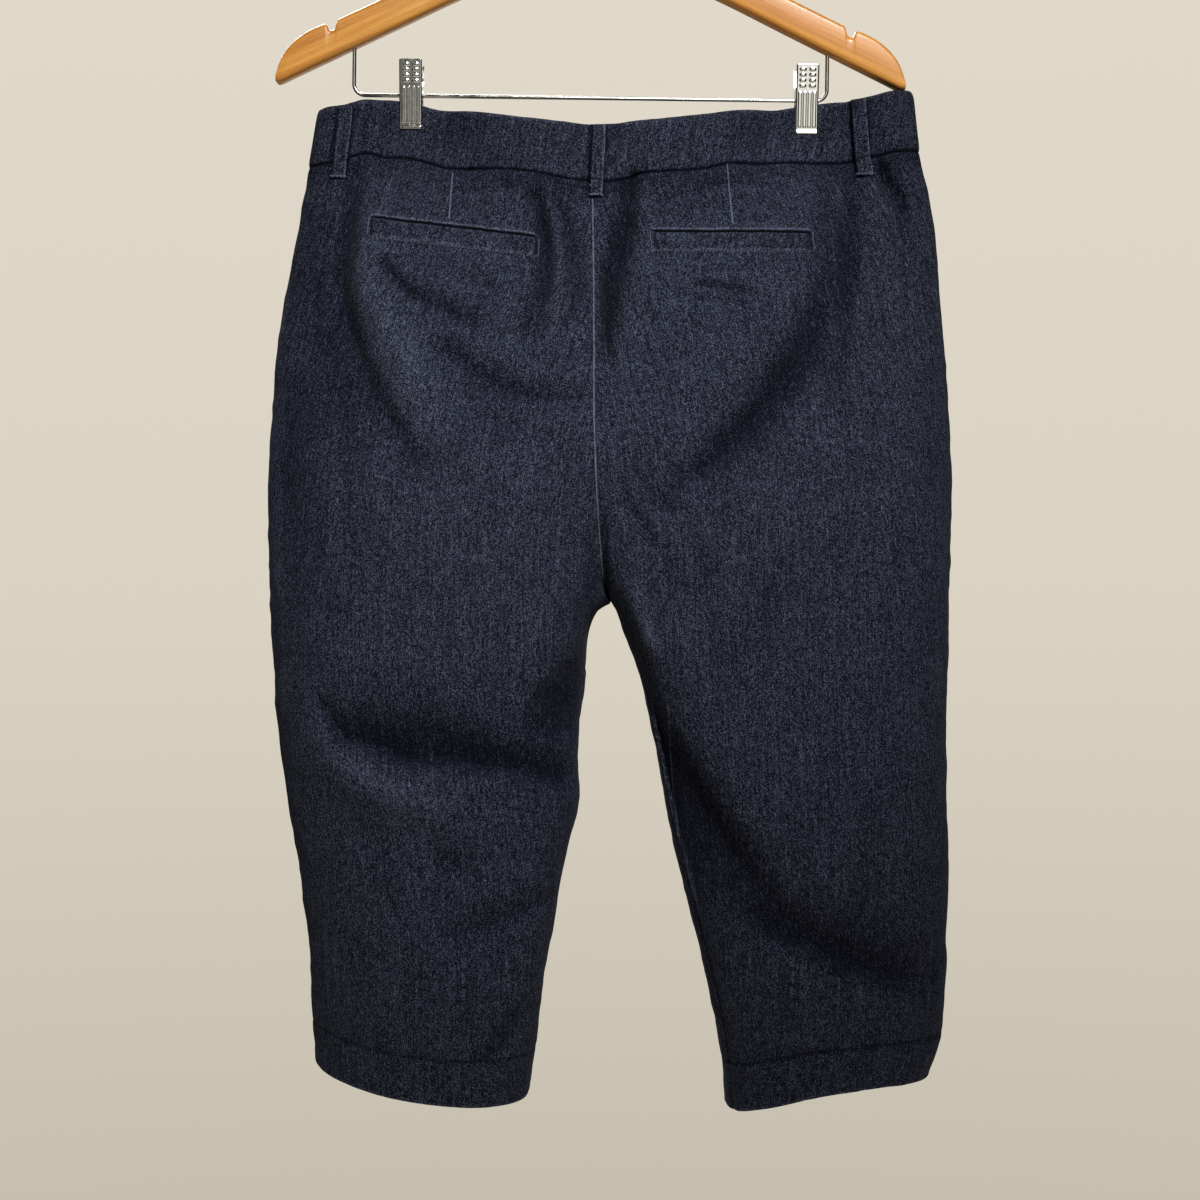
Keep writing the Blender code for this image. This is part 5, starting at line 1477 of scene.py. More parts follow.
UNDERLAP_STEP, UNDERLAP_CLEAR = 6.0, 1.0  # it steps in over this run before the right one starts
FLY_DROP = (277.0, 428.0)
ZIP_HALF, ZIP_THICK = 12.0, 1.0
SHIELD_X, SHIELD_THICK = (-17.0, 24.0), 1.2
INSIDE_GAP = 0.5
BUTTON_AT = (12.0, 249.5)
BUTTON_PROFILE = [  # (radius, height)
    (0.1, 0.0), (8.0, 0.0), (8.5, 0.4), (8.6, 0.9), (8.5, 1.5), (8.1, 2.1), (7.5, 2.5), (7.0, 2.6),
    (6.5, 2.5), (6.0, 2.25), (5.4, 2.1), (3.0, 1.9), (0.1, 1.85),
]


def laid(cloth, spots):
    """A small cloth that lies on another at a grid of (x, drop) spots."""
    found = [cloth.at(*spot) for spot in spots.reshape(-1, 2)]
    return Cloth(*(np.array(field).reshape(*spots.shape[:2], 3) for field in zip(*found)))


def patch(cloth, corners, rows, columns):
    """A small cloth on another inside four corners: top left, top right, lower right, lower left."""
    top_left, top_right, low_right, low_left = (np.array(c, float) for c in corners)
    v, u = np.linspace(0, 1, rows)[:, None, None], np.linspace(0, 1, columns)[None, :, None]
    top = top_left * (1 - u) + top_right * u
    low = low_left * (1 - u) + low_right * u
    return laid(cloth, top * (1 - v) + low * v)


def shares(rows, columns):
    """How far down (0 to 1) and across (-1 to 1) each place of a patch lies."""
    return np.linspace(0, 1, rows)[:, None, None], np.linspace(-1, 1, columns)[None, :, None]


def strip(top, low, left, right):
    """Corners of an upright strip, from left to right of the line between two (x, drop) places."""
    return [
        (top[0] + left, top[1]),
        (top[0] + right, top[1]),
        (low[0] + right, low[1]),
        (low[0] + left, low[1]),
    ]


EDGE_WIDE, INSIDE_AT, INSIDE_WIDE = 0.8, 1.6, 0.7


def edge_wear_and_shade(inwards, at_edge, inside):
    """A tone along an edge: one value on the edge itself, and another just inside it. It carries fading,
    painted shadows and painted highlights.
    """
    return at_edge * hump(inwards, 0, EDGE_WIDE) + inside * hump(inwards, INSIDE_AT, INSIDE_WIDE)


LOOP_GRID = (34, 17)
LOOP_LIFT, LOOP_BOW, LOOP_BOW_SHAPE, LOOP_EDGE, LOOP_EDGE_SHAPE = 0.5, 1.9, 0.8, 0.45, 6
LOOP_LEFT_SHADOW, LOOP_RIGHT_HIGHLIGHT = (-1.8, 0.5), (1.7, 0.0)  # (at the edge, inside it): a painted shadow along the left edge with a pale line inside it, and a painted highlight along the right edge
LOOP_CUT = 37.0  # each loop's weave comes from another place


def loop_pieces(back, front):
    half = LOOP_WIDE / 2
    down, across = shares(*LOOP_GRID)
    bow = LOOP_BOW * np.sin(math.pi * down) ** LOOP_BOW_SHAPE
    edge = -LOOP_EDGE * np.abs(across) ** LOOP_EDGE_SHAPE
    wear = edge_wear_and_shade((across + 1) * half, *LOOP_LEFT_SHADOW)
    wear += edge_wear_and_shade((1 - across) * half, *LOOP_RIGHT_HIGHLIGHT)
    for number, (name, (is_front, *ends)) in enumerate(zip(LOOP_NAMES, LOOPS.rows)):
        cloth = front if is_front else back
        lying = patch(cloth, strip(ends[:2], ends[2:], -half, half), *LOOP_GRID)
        outer = lying.points + lying.normals * (LOOP_LIFT + LOOP_THICK + bow + edge)
        inner = lying.points + lying.normals * (LOOP_LIFT + bow)
        weave = lying.weave + [LOOP_CUT * number, 0, 0]
        weave[..., 2] = wear[..., 0]
        obj = shell(f"belt_loop_{name}_cloth", outer, inner, weave, [FACE], 3, 3)
        stands_for(obj, f"belt_loop_{name}")


WELT_GRID = (22, 160)
WELT_LIFT, WELT_SUNK, WELT_CUT = 0.75, 0.3, 500
WELT_SWELL, WELT_SWELL_SHAPE = 0.5, 0.7
WELT_END_LOW, WELT_END = 0.35, 0.015  # the ends are pressed down over this share of half the length
WELT_PUCKER, WELT_PUCKER_LONG, WELT_CELL = 0.35, 6, 5
# Tones along a welt's edges, (at the edge, inside it): a painted shadow along the top edge under the lip
# with a paler line inside it, a pale faded lower edge, and ends pale at the edge and darker just inside.
WELT_TOP_SHADOW_AND_FADE, WELT_LOW_WEAR, WELT_END_TONE = (-1.6, 0.5), (1.3, 0.0), (0.7, -1.1)
WELT_UNEVEN_WEAR = 0.35
WELT_WEAR_SEED, WELT_PUCKER_SEED = 90, 91


def welt_pieces(cloth):
    down, across = shares(*WELT_GRID)
    across = np.abs(across)
    arch = np.sin(math.pi * down)
    swell = WELT_SWELL * arch**WELT_SWELL_SHAPE
    swell = swell - WELT_END_LOW * smooth((across - 1 + WELT_END) / WELT_END)
    deep, wide = WELT_DEEP * down[..., 0], WELT_LONG * (1 - across[..., 0]) / 2
    for name, corners in WELT_CORNERS.items():
        lying = patch(cloth, corners, *WELT_GRID)
        x = lying.points[..., :1]
        pucker = WELT_PUCKER * ripple(x, WELT_PUCKER_LONG * down, WELT_CELL, WELT_PUCKER_SEED) * arch
        outer = lying.points + lying.normals * (WELT_LIFT + swell + pucker)
        inner = lying.points - lying.normals * WELT_SUNK
        weave = lying.weave + [0, WELT_CUT, 0]
        uneven = ripple(x[..., 0], deep, WELT_CELL, WELT_WEAR_SEED)
        weave[..., 2] = edge_wear_and_shade(deep, *WELT_TOP_SHADOW_AND_FADE) + edge_wear_and_shade(WELT_DEEP - deep, *WELT_LOW_WEAR)
        weave[..., 2] += WELT_UNEVEN_WEAR * uneven + edge_wear_and_shade(wide, *WELT_END_TONE)
        obj = shell(f"{name}_cloth", outer, inner, weave, [FACE], 2, 2)
        stands_for(obj, name)
        lip(name, cloth, corners)


LIP_GRID = (14, 96)
LIP_DEEP, LIP_PROUD, LIP_OVER = 7.0, 1.9, 0.8
LIP_END, LIP_RISES = 0.06, 1.15
LIP_LIFT, LIP_LIFT_LOW, LIP_HOLLOW, LIP_SUNK = -0.02, 0.03, 0.45, 0.5
# (at the lip's edge, inside it): a painted shadow along the pocket's slit, and a pale line just above it
LIP_SLIT_SHADOW_AND_LINE = (-2.6, 1.9)


def lip(name, cloth, corners):
    """The edge of the cloth over a welt, which stands out along the pocket's slit."""
    top_left, top_right = np.array(corners[0]), np.array(corners[1])
    up, over = np.array([0, -LIP_DEEP]), np.array([0, LIP_OVER])
    edge = [top_left + up, top_right + up, top_right + over, top_left + over]
    lying = patch(cloth, edge, *LIP_GRID)
    down, across = shares(*LIP_GRID)
    ends = 1 - smooth((np.abs(across) - 1 + LIP_END) / LIP_END)
    rise = LIP_PROUD * smooth(down * LIP_RISES) * ends
    outer = lying.points + lying.normals * (rise + LIP_LIFT + LIP_LIFT_LOW * down)
    inner = lying.points + lying.normals * (rise * LIP_HOLLOW - LIP_SUNK)
    weave = lying.weave.copy()
    weave[..., 2] += edge_wear_and_shade((LIP_DEEP + LIP_OVER) * (1 - down[..., 0]), *LIP_SLIT_SHADOW_AND_LINE)
    obj = shell(f"{name}_lip", outer, inner, weave, [FACE], 0, 2)
    worn_by["back_" + name.split("_")[1]].append(obj)


# Seams that stand out as a raised line, as name: (panel, (x, drop) places).
RAISED_LINES = {
    "dart_left": ("back_left", [(-103.2, 257.0), (-103.7, 275.0), (-104.2, 293.5)]),
    "dart_right": ("back_right", [(88.2, 253.0), (89.8, 276.0), (91.5, 298.5)]),
    "seat_seam": (
        "back_left",
        [
            (-5.2, 279.0), (-4.9, 300.0), (-4.4, 340.0), (-4.2, 380.0), (-4.2, 420.0), (-3.7, 446.0),
            (-2.7, 474.0), (-1.2, 500.0), (0.6, 524.0), (2.4, 542.0),
        ],
    ),
    "inseam_right": (
        "back_right",
        [
            (46.4, 627.2), (49.4, 666.0), (53.4, 712.2), (59.7, 755.5), (72.8, 806.7), (81.1, 857.9),
            (84.5, 881.9),
        ],
    ),
}
RAISED_WIDE, RAISED_HIGH, RAISED_LIFT, RAISED_SUNK, RAISED_STEP = 2.0, 0.5, 0.04, 0.5, 2.5
RAISED_FADE_AND_SHADE = (-1.6, 0.9, 3.2, 1.6, -1.0)  # from one side of the line to the other: painted shade along its sides, and a pale, faded top
INSEAM_FADE_AND_SHADE = 0.55  # of that, on the inseam's line, which lies in shade


def raised_lines(seat, right_leg):
    across = np.linspace(-1, 1, len(RAISED_FADE_AND_SHADE))
    high = RAISED_HIGH * (1 - across**2)[:, None] + RAISED_LIFT
    for name, (panel, path) in RAISED_LINES.items():
        is_inseam = name == "inseam_right"
        curve = spline(np.array(path, float), RAISED_STEP)
        tangent = unit(np.gradient(curve, axis=0))
        side = np.stack([tangent[:, 1], -tangent[:, 0]], axis=-1)
        spots = curve[:, None] + side[:, None] * across[:, None] * RAISED_WIDE / 2
        lying = laid(right_leg if is_inseam else seat, spots)
        lying.weave[..., 2] += np.array(RAISED_FADE_AND_SHADE) * (INSEAM_FADE_AND_SHADE if is_inseam else 1.0)
        outer, inner = lying.points + lying.normals * high, lying.points - lying.normals * RAISED_SUNK
        obj = shell(f"{name}_line", outer, inner, lying.weave, [FACE])
        worn_by[panel].append(obj)


# ------------------------------------------------------------------ stitches
THREAD = 0.26  # radius
STITCH_SIDES = 6
# Along a stitch: (share of its length, height and width in radii of the thread).
STITCH_RINGS = [
    (0.0, -0.25, 0.45), (0.2, 0.35, 0.95), (0.5, 0.6, 1.0), (0.8, 0.35, 0.95), (1.0, -0.25, 0.45),
]


class Stitches:
    """Short lengths of thread, joined in one mesh."""

    def __init__(self, name, made_of):
        self.name, self.made_of = name, made_of
        self.points, self.faces = [], []

    def stitch(self, start, end, out, radius=THREAD, lift=0.15):
        """One stitch between two points on the cloth, arched a little, its ends sunk in."""
        start, end, out = np.asarray(start), np.asarray(end), unit(np.asarray(out))
        side = unit(np.cross(end - start, out))
        first = len(self.points)
        for share, rise, wide in STITCH_RINGS:
            centre = start + (end - start) * share + out * (lift + rise * radius)
            for k in range(STITCH_SIDES):
                a = k * 2 * math.pi / STITCH_SIDES
                self.points.append(centre + radius * wide * (math.cos(a) * side + math.sin(a) * out))
        last = len(self.points) - STITCH_SIDES
        for ring in range(first, last, STITCH_SIDES):
            for k in range(STITCH_SIDES):
                a, b = ring + k, ring + (k + 1) % STITCH_SIDES
                self.faces.append((a, b, b + STITCH_SIDES, a + STITCH_SIDES))
        self.faces.append(tuple(first + k for k in range(STITCH_SIDES))[::-1])
        self.faces.append(tuple(last + k for k in range(STITCH_SIDES)))

    def run(self, places, pitch=2.6, share=0.66, radius=THREAD, lift=0.15):
        """A line of stitches along (point, out) places, each as long as this share of the pitch."""
        points, outs = (np.array(field) for field in zip(*places))
        length = np.concatenate([[0], np.cumsum(np.linalg.norm(np.diff(points, axis=0), axis=1))])

        def on(at):
            """The point and the outward direction this far along."""
            return ([np.interp(at, length, field[:, k]) for k in range(3)] for field in (points, outs))

        for k in range(int(length[-1] / pitch)):
            start, out = on(k * pitch + pitch * (1 - share) / 2)
            end, _ = on(k * pitch + pitch * (1 + share) / 2)
            self.stitch(start, end, out, radius, lift)

    def finish(self):
        obj = add_mesh(self.name, to_world(np.array(self.points)), self.faces, [self.made_of], sharp=80)


def line_on(cloth, start, end, count):
    """(point, out) places along a straight line between two (x, drop) places."""
    places = []
    for u in np.linspace(0, 1, count):
        point, out, _ = cloth.at(*(np.array(start) * (1 - u) + np.array(end) * u))
        places.append((point, out))
    return places


WELT_SEAM_OFF, WELT_SEAM_POINTS, WELT_END_POINTS = 0.9, 60, 12


def sew_welts(cloth):
    """A line under each welt, and a close row at either end."""
    sewing = Stitches("welt_stitches", NAVY_THREAD)
    below, beside = np.array([0, WELT_SEAM_OFF]), np.array([WELT_SEAM_OFF, 0])
    for corners in WELT_CORNERS.values():
        top_left, top_right, low_right, low_left = (np.array(c) for c in corners)
        sewing.run(line_on(cloth, low_left + below, low_right + below, WELT_SEAM_POINTS), pitch=2.4)
        for top, low, out in ((top_left, low_left, -beside), (top_right, low_right, beside)):
            sewing.run(line_on(cloth, top + out, low + out, WELT_END_POINTS), pitch=1.3, share=0.8)
    sewing.finish()


LOOP_BARS = [(0.4, 12), (6.5, 7)]  # (above the loop's end, stitches)
BAR_PAST, BAR_HALF_HIGH, BAR_LIFT, BAR_ASLANT, BAR_UNEVEN, BAR_THREAD = 0.6, 0.7, 0.7, 0.3, 0.5, 0.2


def sew_loops(back, front):
    """Close zigzag bars that hold each loop's lower end down, under the band."""
    sewing = Stitches("loop_bartacks", PALE_THREAD)
    rng = np.random.RandomState(7)
    half, lift = LOOP_WIDE / 2 + BAR_PAST, LOOP_THICK + BAR_LIFT
    for is_front, _, _, low_x, low_drop in LOOPS.rows:
        cloth = front if is_front else back
        for above, count in LOOP_BARS:
            for k in range(count):
                x = low_x + ((k + 0.5) / count * 2 - 1) * half
                lean, slant = rng.uniform(-BAR_UNEVEN, BAR_UNEVEN, 2)
                drop = low_drop - above + lean
                point, out, _ = cloth.at(x, drop - BAR_HALF_HIGH, lift)
                end, _, _ = cloth.at(x + BAR_ASLANT + slant, drop + BAR_HALF_HIGH, lift)
                sewing.stitch(point, end, out, BAR_THREAD, 0.0)
    sewing.finish()


# ------------------------------------------------------------------ fly, mm
FLY_GRID = (40, 12)
# The outer row of stitches, as (x, drop), and how far in each row lies.
FLY_STITCH = [(37.0, 276.0), (37.0, 330.0), (36.0, 375.0), (31.0, 402.0), (20.0, 420.0), (3.0, 431.0)]
FLY_ROWS = (0.0, 5.5)
FLY_TURN, FLY_TURN_IN = 400, 0.8  # past this drop the inner row also lies this share of it higher
FLY_POINTS = 10  # places to a stretch
COIL_COLUMNS, COIL_THREAD = slice(5, 7), 0.5  # the coil runs down the middle of the tape's grid


def fly_pieces(front):
    """The zip's tape and coil, the shield behind it, and the J-shaped double row on the face."""
    top, low = ((float(CENTRE_FRONT.at("x", drop)), drop) for drop in FLY_DROP)

    def lining(name, sides, thick, behind, made_of, node):
        lying = patch(front, strip(top, low, *sides), *FLY_GRID)
        outer = lying.points - lying.normals * behind
        obj = shell(name, outer, outer - lying.normals * thick, lying.weave, [made_of], 2, 2)
        stands_for(obj, node)
        return lying

    behind = CLOTH + INSIDE_GAP
    tape = lining("zip_tape", (-ZIP_HALF, ZIP_HALF), ZIP_THICK, behind, TAPE, "fly_zip")
    past_zip = behind + ZIP_THICK + INSIDE_GAP
    lining("fly_shield_cloth", SHIELD_X, SHIELD_THICK, past_zip, REVERSE, "fly_shield")
    sewing = Stitches("fly_stitches", NAVY_THREAD)
    for inset in FLY_ROWS:
        path = [(x - inset, drop - inset * (drop > FLY_TURN) * FLY_TURN_IN) for x, drop in FLY_STITCH]
        places = []
        for a, b in zip(path, path[1:]):
            places += line_on(front, a, b, FLY_POINTS)[:-1]
        sewing.run(places, pitch=2.8)
    sewing.finish()
    outs = tape.normals[:, COIL_COLUMNS.start]
    teeth = zip(tape.points[:, COIL_COLUMNS].mean(axis=1) - outs * behind, outs)
    coil = Stitches("zip_coil", TAPE)
    coil.run(teeth, pitch=1.3, share=0.7, radius=COIL_THREAD, lift=0.0)
    coil.finish()


HOLE_X, HOLE_HALF, HOLE_PITCH = (1.5, 22.5), 0.4, 0.75
HOLE_STITCH, HOLE_THREAD, HOLE_LIFT = 1.5, 0.3, 0.2
HOLE_BAR_OUT, HOLE_BAR_HALF, HOLE_BAR_THREAD = 0.5, 1.9, 0.4


def sew_buttonhole(front):
    """Close upright stitches above and below the slit, and a bar at either end."""
    sewing = Stitches("buttonhole_stitches", NAVY_THREAD)

    def upright(x, near, far, radius):
        lift = BAND_PROUD * HOLE_LIFT
        start, out, _ = front.at(x, BUTTON_AT[1] + near, lift)
        end, _, _ = front.at(x, BUTTON_AT[1] + far, lift)
        sewing.stitch(start, end, out, radius, 0.1)

    for x in np.arange(*HOLE_X, HOLE_PITCH):
        for way in (-1, 1):
            upright(x, way * HOLE_HALF, way * (HOLE_HALF + HOLE_STITCH), HOLE_THREAD)
    for x in (HOLE_X[0] - HOLE_BAR_OUT, HOLE_X[1] + HOLE_BAR_OUT):
        upright(x, -HOLE_BAR_HALF, HOLE_BAR_HALF, HOLE_BAR_THREAD)
    sewing.finish()


BUTTON_NEAR, BUTTON_GAP, BUTTON_SIDES = (-7, 0, 7), 0.3, 56


def button_piece(front):
    """A plain dished shank button, clear of the cloth all round it."""
    x, drop = BUTTON_AT
    point, _, _ = front.at(x, drop)
    around = [front.at(x + a, drop + b) for a in BUTTON_NEAR for b in BUTTON_NEAR]
    out = unit(sum(normal for _, normal, _ in around))
    proud = max((place - point) @ out for place, _, _ in around) + BUTTON_GAP
    across = unit(np.cross(out, [0.0, 0.0, 1.0]))
    down = np.cross(out, across)
    angle = np.linspace(0, 2 * math.pi, BUTTON_SIDES, endpoint=False)[:, None]
    circle = np.cos(angle) * across + np.sin(angle) * down
    rings = [point + out * (proud + height) + radius * circle for radius, height in BUTTON_PROFILE]
    obj = ring_solid("waist_button_metal", np.array(rings), [BUTTON], to_world, sharp=50)
    stands_for(obj, "waist_button")


# ------------------------------------------------------------------ hanger, mm
TILT = math.radians(0.75)
ARM_THICK, ARM_ROUND, ARM_CORNER = 12.0, 4.2, 6  # and the points of each rounded corner
ARM_LEAST = 2.2  # an arm is at least so many roundings tall
# Sections of an arm: (from, to, spacing), closer together from the notch to the tip.
ARM_RUNS, ARM_TIP = [(0, 174, 4.0), (174, 222.4, 0.8)], 222.4
GRAIN_SLOPE, GRAIN_LONG, GRAIN_TURN = 0.46, 1.1, 1.7  # the grain follows the arms and turns over edges
ARM_EDGES = Table(
    "across top under",
    [
        (0.0, 77.0, 105.0),
        (24.0, 79.0, 107.0),
        (60.0, 91.5, 117.5),
        (91.4, 106.0, 131.1),
        (137.7, 128.0, 153.7),
        (160.0, 138.8, 164.6),
        (176.0, 146.5, 172.4),
        (179.0, 148.0, 173.9),
        (181.5, 155.0, 175.1),
        (184.5, 156.0, 176.6),
        (187.5, 151.3, 178.0),
        (194.0, 153.5, 181.2),
        (201.0, 157.0, 184.6),
        (208.4, 162.5, 188.2),
        (214.0, 168.3, 191.0),
        (218.0, 174.5, 192.9),
        (221.0, 182.0, 193.6),
        (222.4, 188.0, 192.4),
    ],
)
HOOK_WIRE, HOOK_INSIDE = 3.8, 19.0
HOOK_STEM_TOP, HOOK_STEM_LOW = 54.0, 76.6
HOOK_FROM, HOOK_TO, HOOK_SWEEP = -62.0, 205.0, 9.0  # degrees, degrees, and the length of the bend
BAR_WIRE, BAR_HALF, BAR_LEVEL, BAR_BEND = 2.8, 167.5, 200.7, 8.0
CLIP_WIDE, CLIP_SHEET = 16.0, 0.9
CLIP_U = (-126.8, 153.0)  # along the bar
JAW = Table(
    "down out",
    [
        (177.4, 9.6), (181.0, 9.2), (190.0, 7.6), (199.0, 6.2), (208.0, 5.2), (216.0, 4.6),
        (221.5, 4.3), (224.6, 4.3),
    ],
)
SPRING_LONG, SPRING_WALL, SPRING_GAP, SPRING_CLEAR = 9.0, 1.4, 0.3, 0.05
SPRING_TURNS, SPRING_STEPS, SPRING_SIDES = 5, 28, 8


def hanger_arms():
    half = sorted({across for run in ARM_RUNS for across in np.arange(*run)} | {ARM_TIP})
    rings, weave = [], []
    turn = np.linspace(0, 90, ARM_CORNER)
    for across in [-u for u in half[:0:-1]] + half:
        top = float(ARM_EDGES.at("top", abs(across)))
        under = float(ARM_EDGES.at("under", abs(across)))
        rounded = min(ARM_ROUND, (under - top) / ARM_LEAST)
        thick, high, low = ARM_THICK / 2 - rounded, top + rounded, under - rounded
        corners = [(thick, low, 0), (-thick, low, 90), (-thick, high, 180), (thick, high, 270)]
        ring = [
            (across, out + rounded * math.cos(angle), down + rounded * math.sin(angle))
            for out, down, start in corners
            for angle in math.radians(start) + np.radians(turn)
        ]
        rings.append(ring)
        slope = math.copysign(GRAIN_SLOPE, across) * across
        weave.append([(across * GRAIN_LONG, down - slope + out * GRAIN_TURN) for _, out, down in ring])
    obj = ring_solid("hanger_arms_wood", np.array(rings), [WOOD], weave=np.array(weave), sharp=50)
    stands_for(obj, "hanger_arms")


def arc(centre, radius, start, end, count):
    """(across, down) points of an arc, from one angle to another in degrees."""
    angle = np.radians(np.linspace(start, end, count))
    return [(centre[0] + radius * math.cos(a), centre[1] - radius * math.sin(a)) for a in angle]


def wire(node, path, radius, end_level=None, sides=20):
    """A round wire along (across, down) points, whose ends can be cut off at a level."""
    path = np.array([(u, 0.0, v) for u, v in path])
    tangent = unit(np.gradient(path, axis=0))
    out = np.array([0.0, 1.0, 0.0])
    angle = np.linspace(0, 2 * math.pi, sides, endpoint=False)[:, None]
    rings = []
    for point, forward in zip(path, tangent):
        side = unit(np.cross(out, forward))
        rings.append(point + radius * (np.cos(angle) * side + np.sin(angle) * out))
    rings = np.array(rings)
    if end_level is not None:
        for end in (0, -1):
            rings[end, :, 2] = end_level(rings[end, :, 0])
    stands_for(ring_solid(f"{node}_wire", rings, [CHROME]), node)


ARM_SINK = 1.5  # of the bar's ends in the arms
STEM_POINTS, SWEEP_POINTS, HOOK_POINTS, BEND_POINTS, BAR_POINTS = 6, 20, 70, 16, 12


def hanger_wires():
    """The hook, which leaves its stem in a smooth bend, and the bar that the clips slide on."""
    radius = HOOK_INSIDE + HOOK_WIRE / 2
    loop = arc((0.0, HOOK_INSIDE), radius, HOOK_FROM, HOOK_TO, HOOK_POINTS)
    start, leave = np.array([0.0, HOOK_STEM_TOP]), np.array(loop[0])
    turn = math.radians(HOOK_FROM)
    back_along = np.array([math.sin(turn), math.cos(turn)])
    path = [(0.0, v) for v in np.linspace(HOOK_STEM_LOW, HOOK_STEM_TOP, STEM_POINTS)]
    above, before = start + np.array([0.0, -HOOK_SWEEP]), leave + back_along * HOOK_SWEEP
    for u in np.linspace(0, 1, SWEEP_POINTS)[1:-1]:
        blend = (1 - u) ** 3, 3 * u * (1 - u) ** 2, 3 * u * u * (1 - u), u**3
        path.append(tuple(blend[0] * start + blend[1] * above + blend[2] * before + blend[3] * leave))
    wire("hanger_hook", path + loop, HOOK_WIRE / 2)

    def under_arm(across):
        return ARM_EDGES.at("under", np.abs(across)) - ARM_SINK

    corner = BAR_HALF - BAR_BEND
    bend_from = BAR_LEVEL - BAR_BEND
    half = [(BAR_HALF, v) for v in np.linspace(float(under_arm(BAR_HALF)), bend_from, STEM_POINTS)]
    half += arc((corner, bend_from), BAR_BEND, 0, -90, BEND_POINTS)[1:]
    half += [(u, BAR_LEVEL) for u in np.linspace(corner, 0, BAR_POINTS)[1:-1]]
    path = half + [(0.0, BAR_LEVEL)] + [(-u, v) for u, v in half[::-1]]
    wire("hanger_bar", path, BAR_WIRE / 2, end_level=under_arm)


# Pressed relief of a clip's face: oval bumps above, four flutes below.
BUMP_DOWN, BUMP_ACROSS = (180.8, 184.5, 188.2, 191.9), (-3.4, 3.4)
BUMP_HIGH, BUMP_WIDE, BUMP_TALL, BUMP_FLAT, BUMP_SOFT = 0.6, 2.6, 1.35, 0.5, 0.55
FLUTE_ACROSS, FLUTE_FROM, FLUTE_TO = (-5.1, -1.7, 1.7, 5.1), 195.5, 221.0
FLUTE_HIGH, FLUTE_FLAT, FLUTE_SOFT, FLUTE_END = 0.65, 0.65, 0.75, 1.2
CLIP_GRID = (120, 97)
CLIP_EDGE, CLIP_EDGE_DEEP = 1.0, 0.55  # the sides are turned back a little
CLIP_LIP, CLIP_LIP_FROM, CLIP_LIP_RUN = 0.5, 222.4, 1.2  # and the lower edge flares out


def clip_relief(across, down):
    rise = np.zeros(np.broadcast(across, down).shape)
    for middle in BUMP_DOWN:
        for beside in BUMP_ACROSS:
            near = np.sqrt(((across - beside) / BUMP_WIDE) ** 2 + ((down - middle) / BUMP_TALL) ** 2)
            rise += BUMP_HIGH * (1 - smooth((near - BUMP_FLAT) / BUMP_SOFT))
    ends = smooth((down - FLUTE_FROM) / FLUTE_END) * smooth((FLUTE_TO - down) / FLUTE_END)
    for beside in FLUTE_ACROSS:
        near = 1 - smooth((np.abs(across - beside) - FLUTE_FLAT) / FLUTE_SOFT)
        rise += FLUTE_HIGH * near * ends
    return rise


def clip_pieces():
    rows, columns = CLIP_GRID
    down = np.linspace(JAW.rows[0, 0], JAW.rows[-1, 0], rows)[:, None]
    across = np.linspace(-CLIP_WIDE / 2, CLIP_WIDE / 2, columns)[None, :]
    out = JAW.at("out", down)
    edge = smooth((np.abs(across) - CLIP_WIDE / 2 + CLIP_EDGE) / CLIP_EDGE) * CLIP_EDGE_DEEP
    rise = clip_relief(across, down) - edge
    flare = CLIP_LIP * smooth((down - CLIP_LIP_FROM) / CLIP_LIP_RUN)
    for side, middle in zip(("left", "right"), CLIP_U):
        for name, outward in (("front", -1), ("rear", 1)):
            outer = np.zeros((*CLIP_GRID, 3))
            outer[..., 0], outer[..., 2] = middle + across, down
            weave = outer[..., [0, 2]]
            inner = outer.copy()
            outer[..., 1], inner[..., 1] = outward * (out + rise + flare), outward * (out - CLIP_SHEET)
            obj = shell(f"clip_{side}_{name}_sheet", outer, inner, weave, [CHROME], 2, 2, tilted, 60)
            stands_for(obj, f"clip_{side}_{name}")
        spring(side, middle)


def spring(side, middle):
    """The coil round the bar that presses the jaws together."""
    wire_radius = SPRING_WALL / 2 - SPRING_CLEAR
    radius = BAR_WIRE / 2 + SPRING_GAP + SPRING_WALL / 2
    steps = SPRING_TURNS * SPRING_STEPS
    angle = np.linspace(0, SPRING_TURNS * 2 * math.pi, steps)
    length = np.linspace(-SPRING_LONG / 2 + wire_radius, SPRING_LONG / 2 - wire_radius, steps)
    path = np.stack([middle + length, radius * np.cos(angle), BAR_LEVEL + radius * np.sin(angle)], axis=-1)
    tangent = unit(np.gradient(path, axis=0))
    outwards = np.stack([0 * angle, np.cos(angle), np.sin(angle)], axis=-1)
    beside = np.cross(tangent, outwards)
    ring = np.linspace(0, 2 * math.pi, SPRING_SIDES, endpoint=False)[None, :, None]
    circles = np.cos(ring) * outwards[:, None] + np.sin(ring) * beside[:, None]
    rings = path[:, None] + wire_radius * circles
    obj = ring_solid(f"clip_{side}_spring_coil", rings, [CHROME], sharp=70)
    stands_for(obj, f"clip_{side}_spring")


# ------------------------------------------------------------------ stage, m
FLOOR_RADIUS, FLOOR_LEVEL, FLOOR_SIDES = 1.6, -1.62, 96  # the hook hangs at a rail's usual height
FLOOR_TONE, FLOOR_PALE, FLOOR_GLOW = srgb(214, 207, 191), srgb(222, 215, 200), 0.72


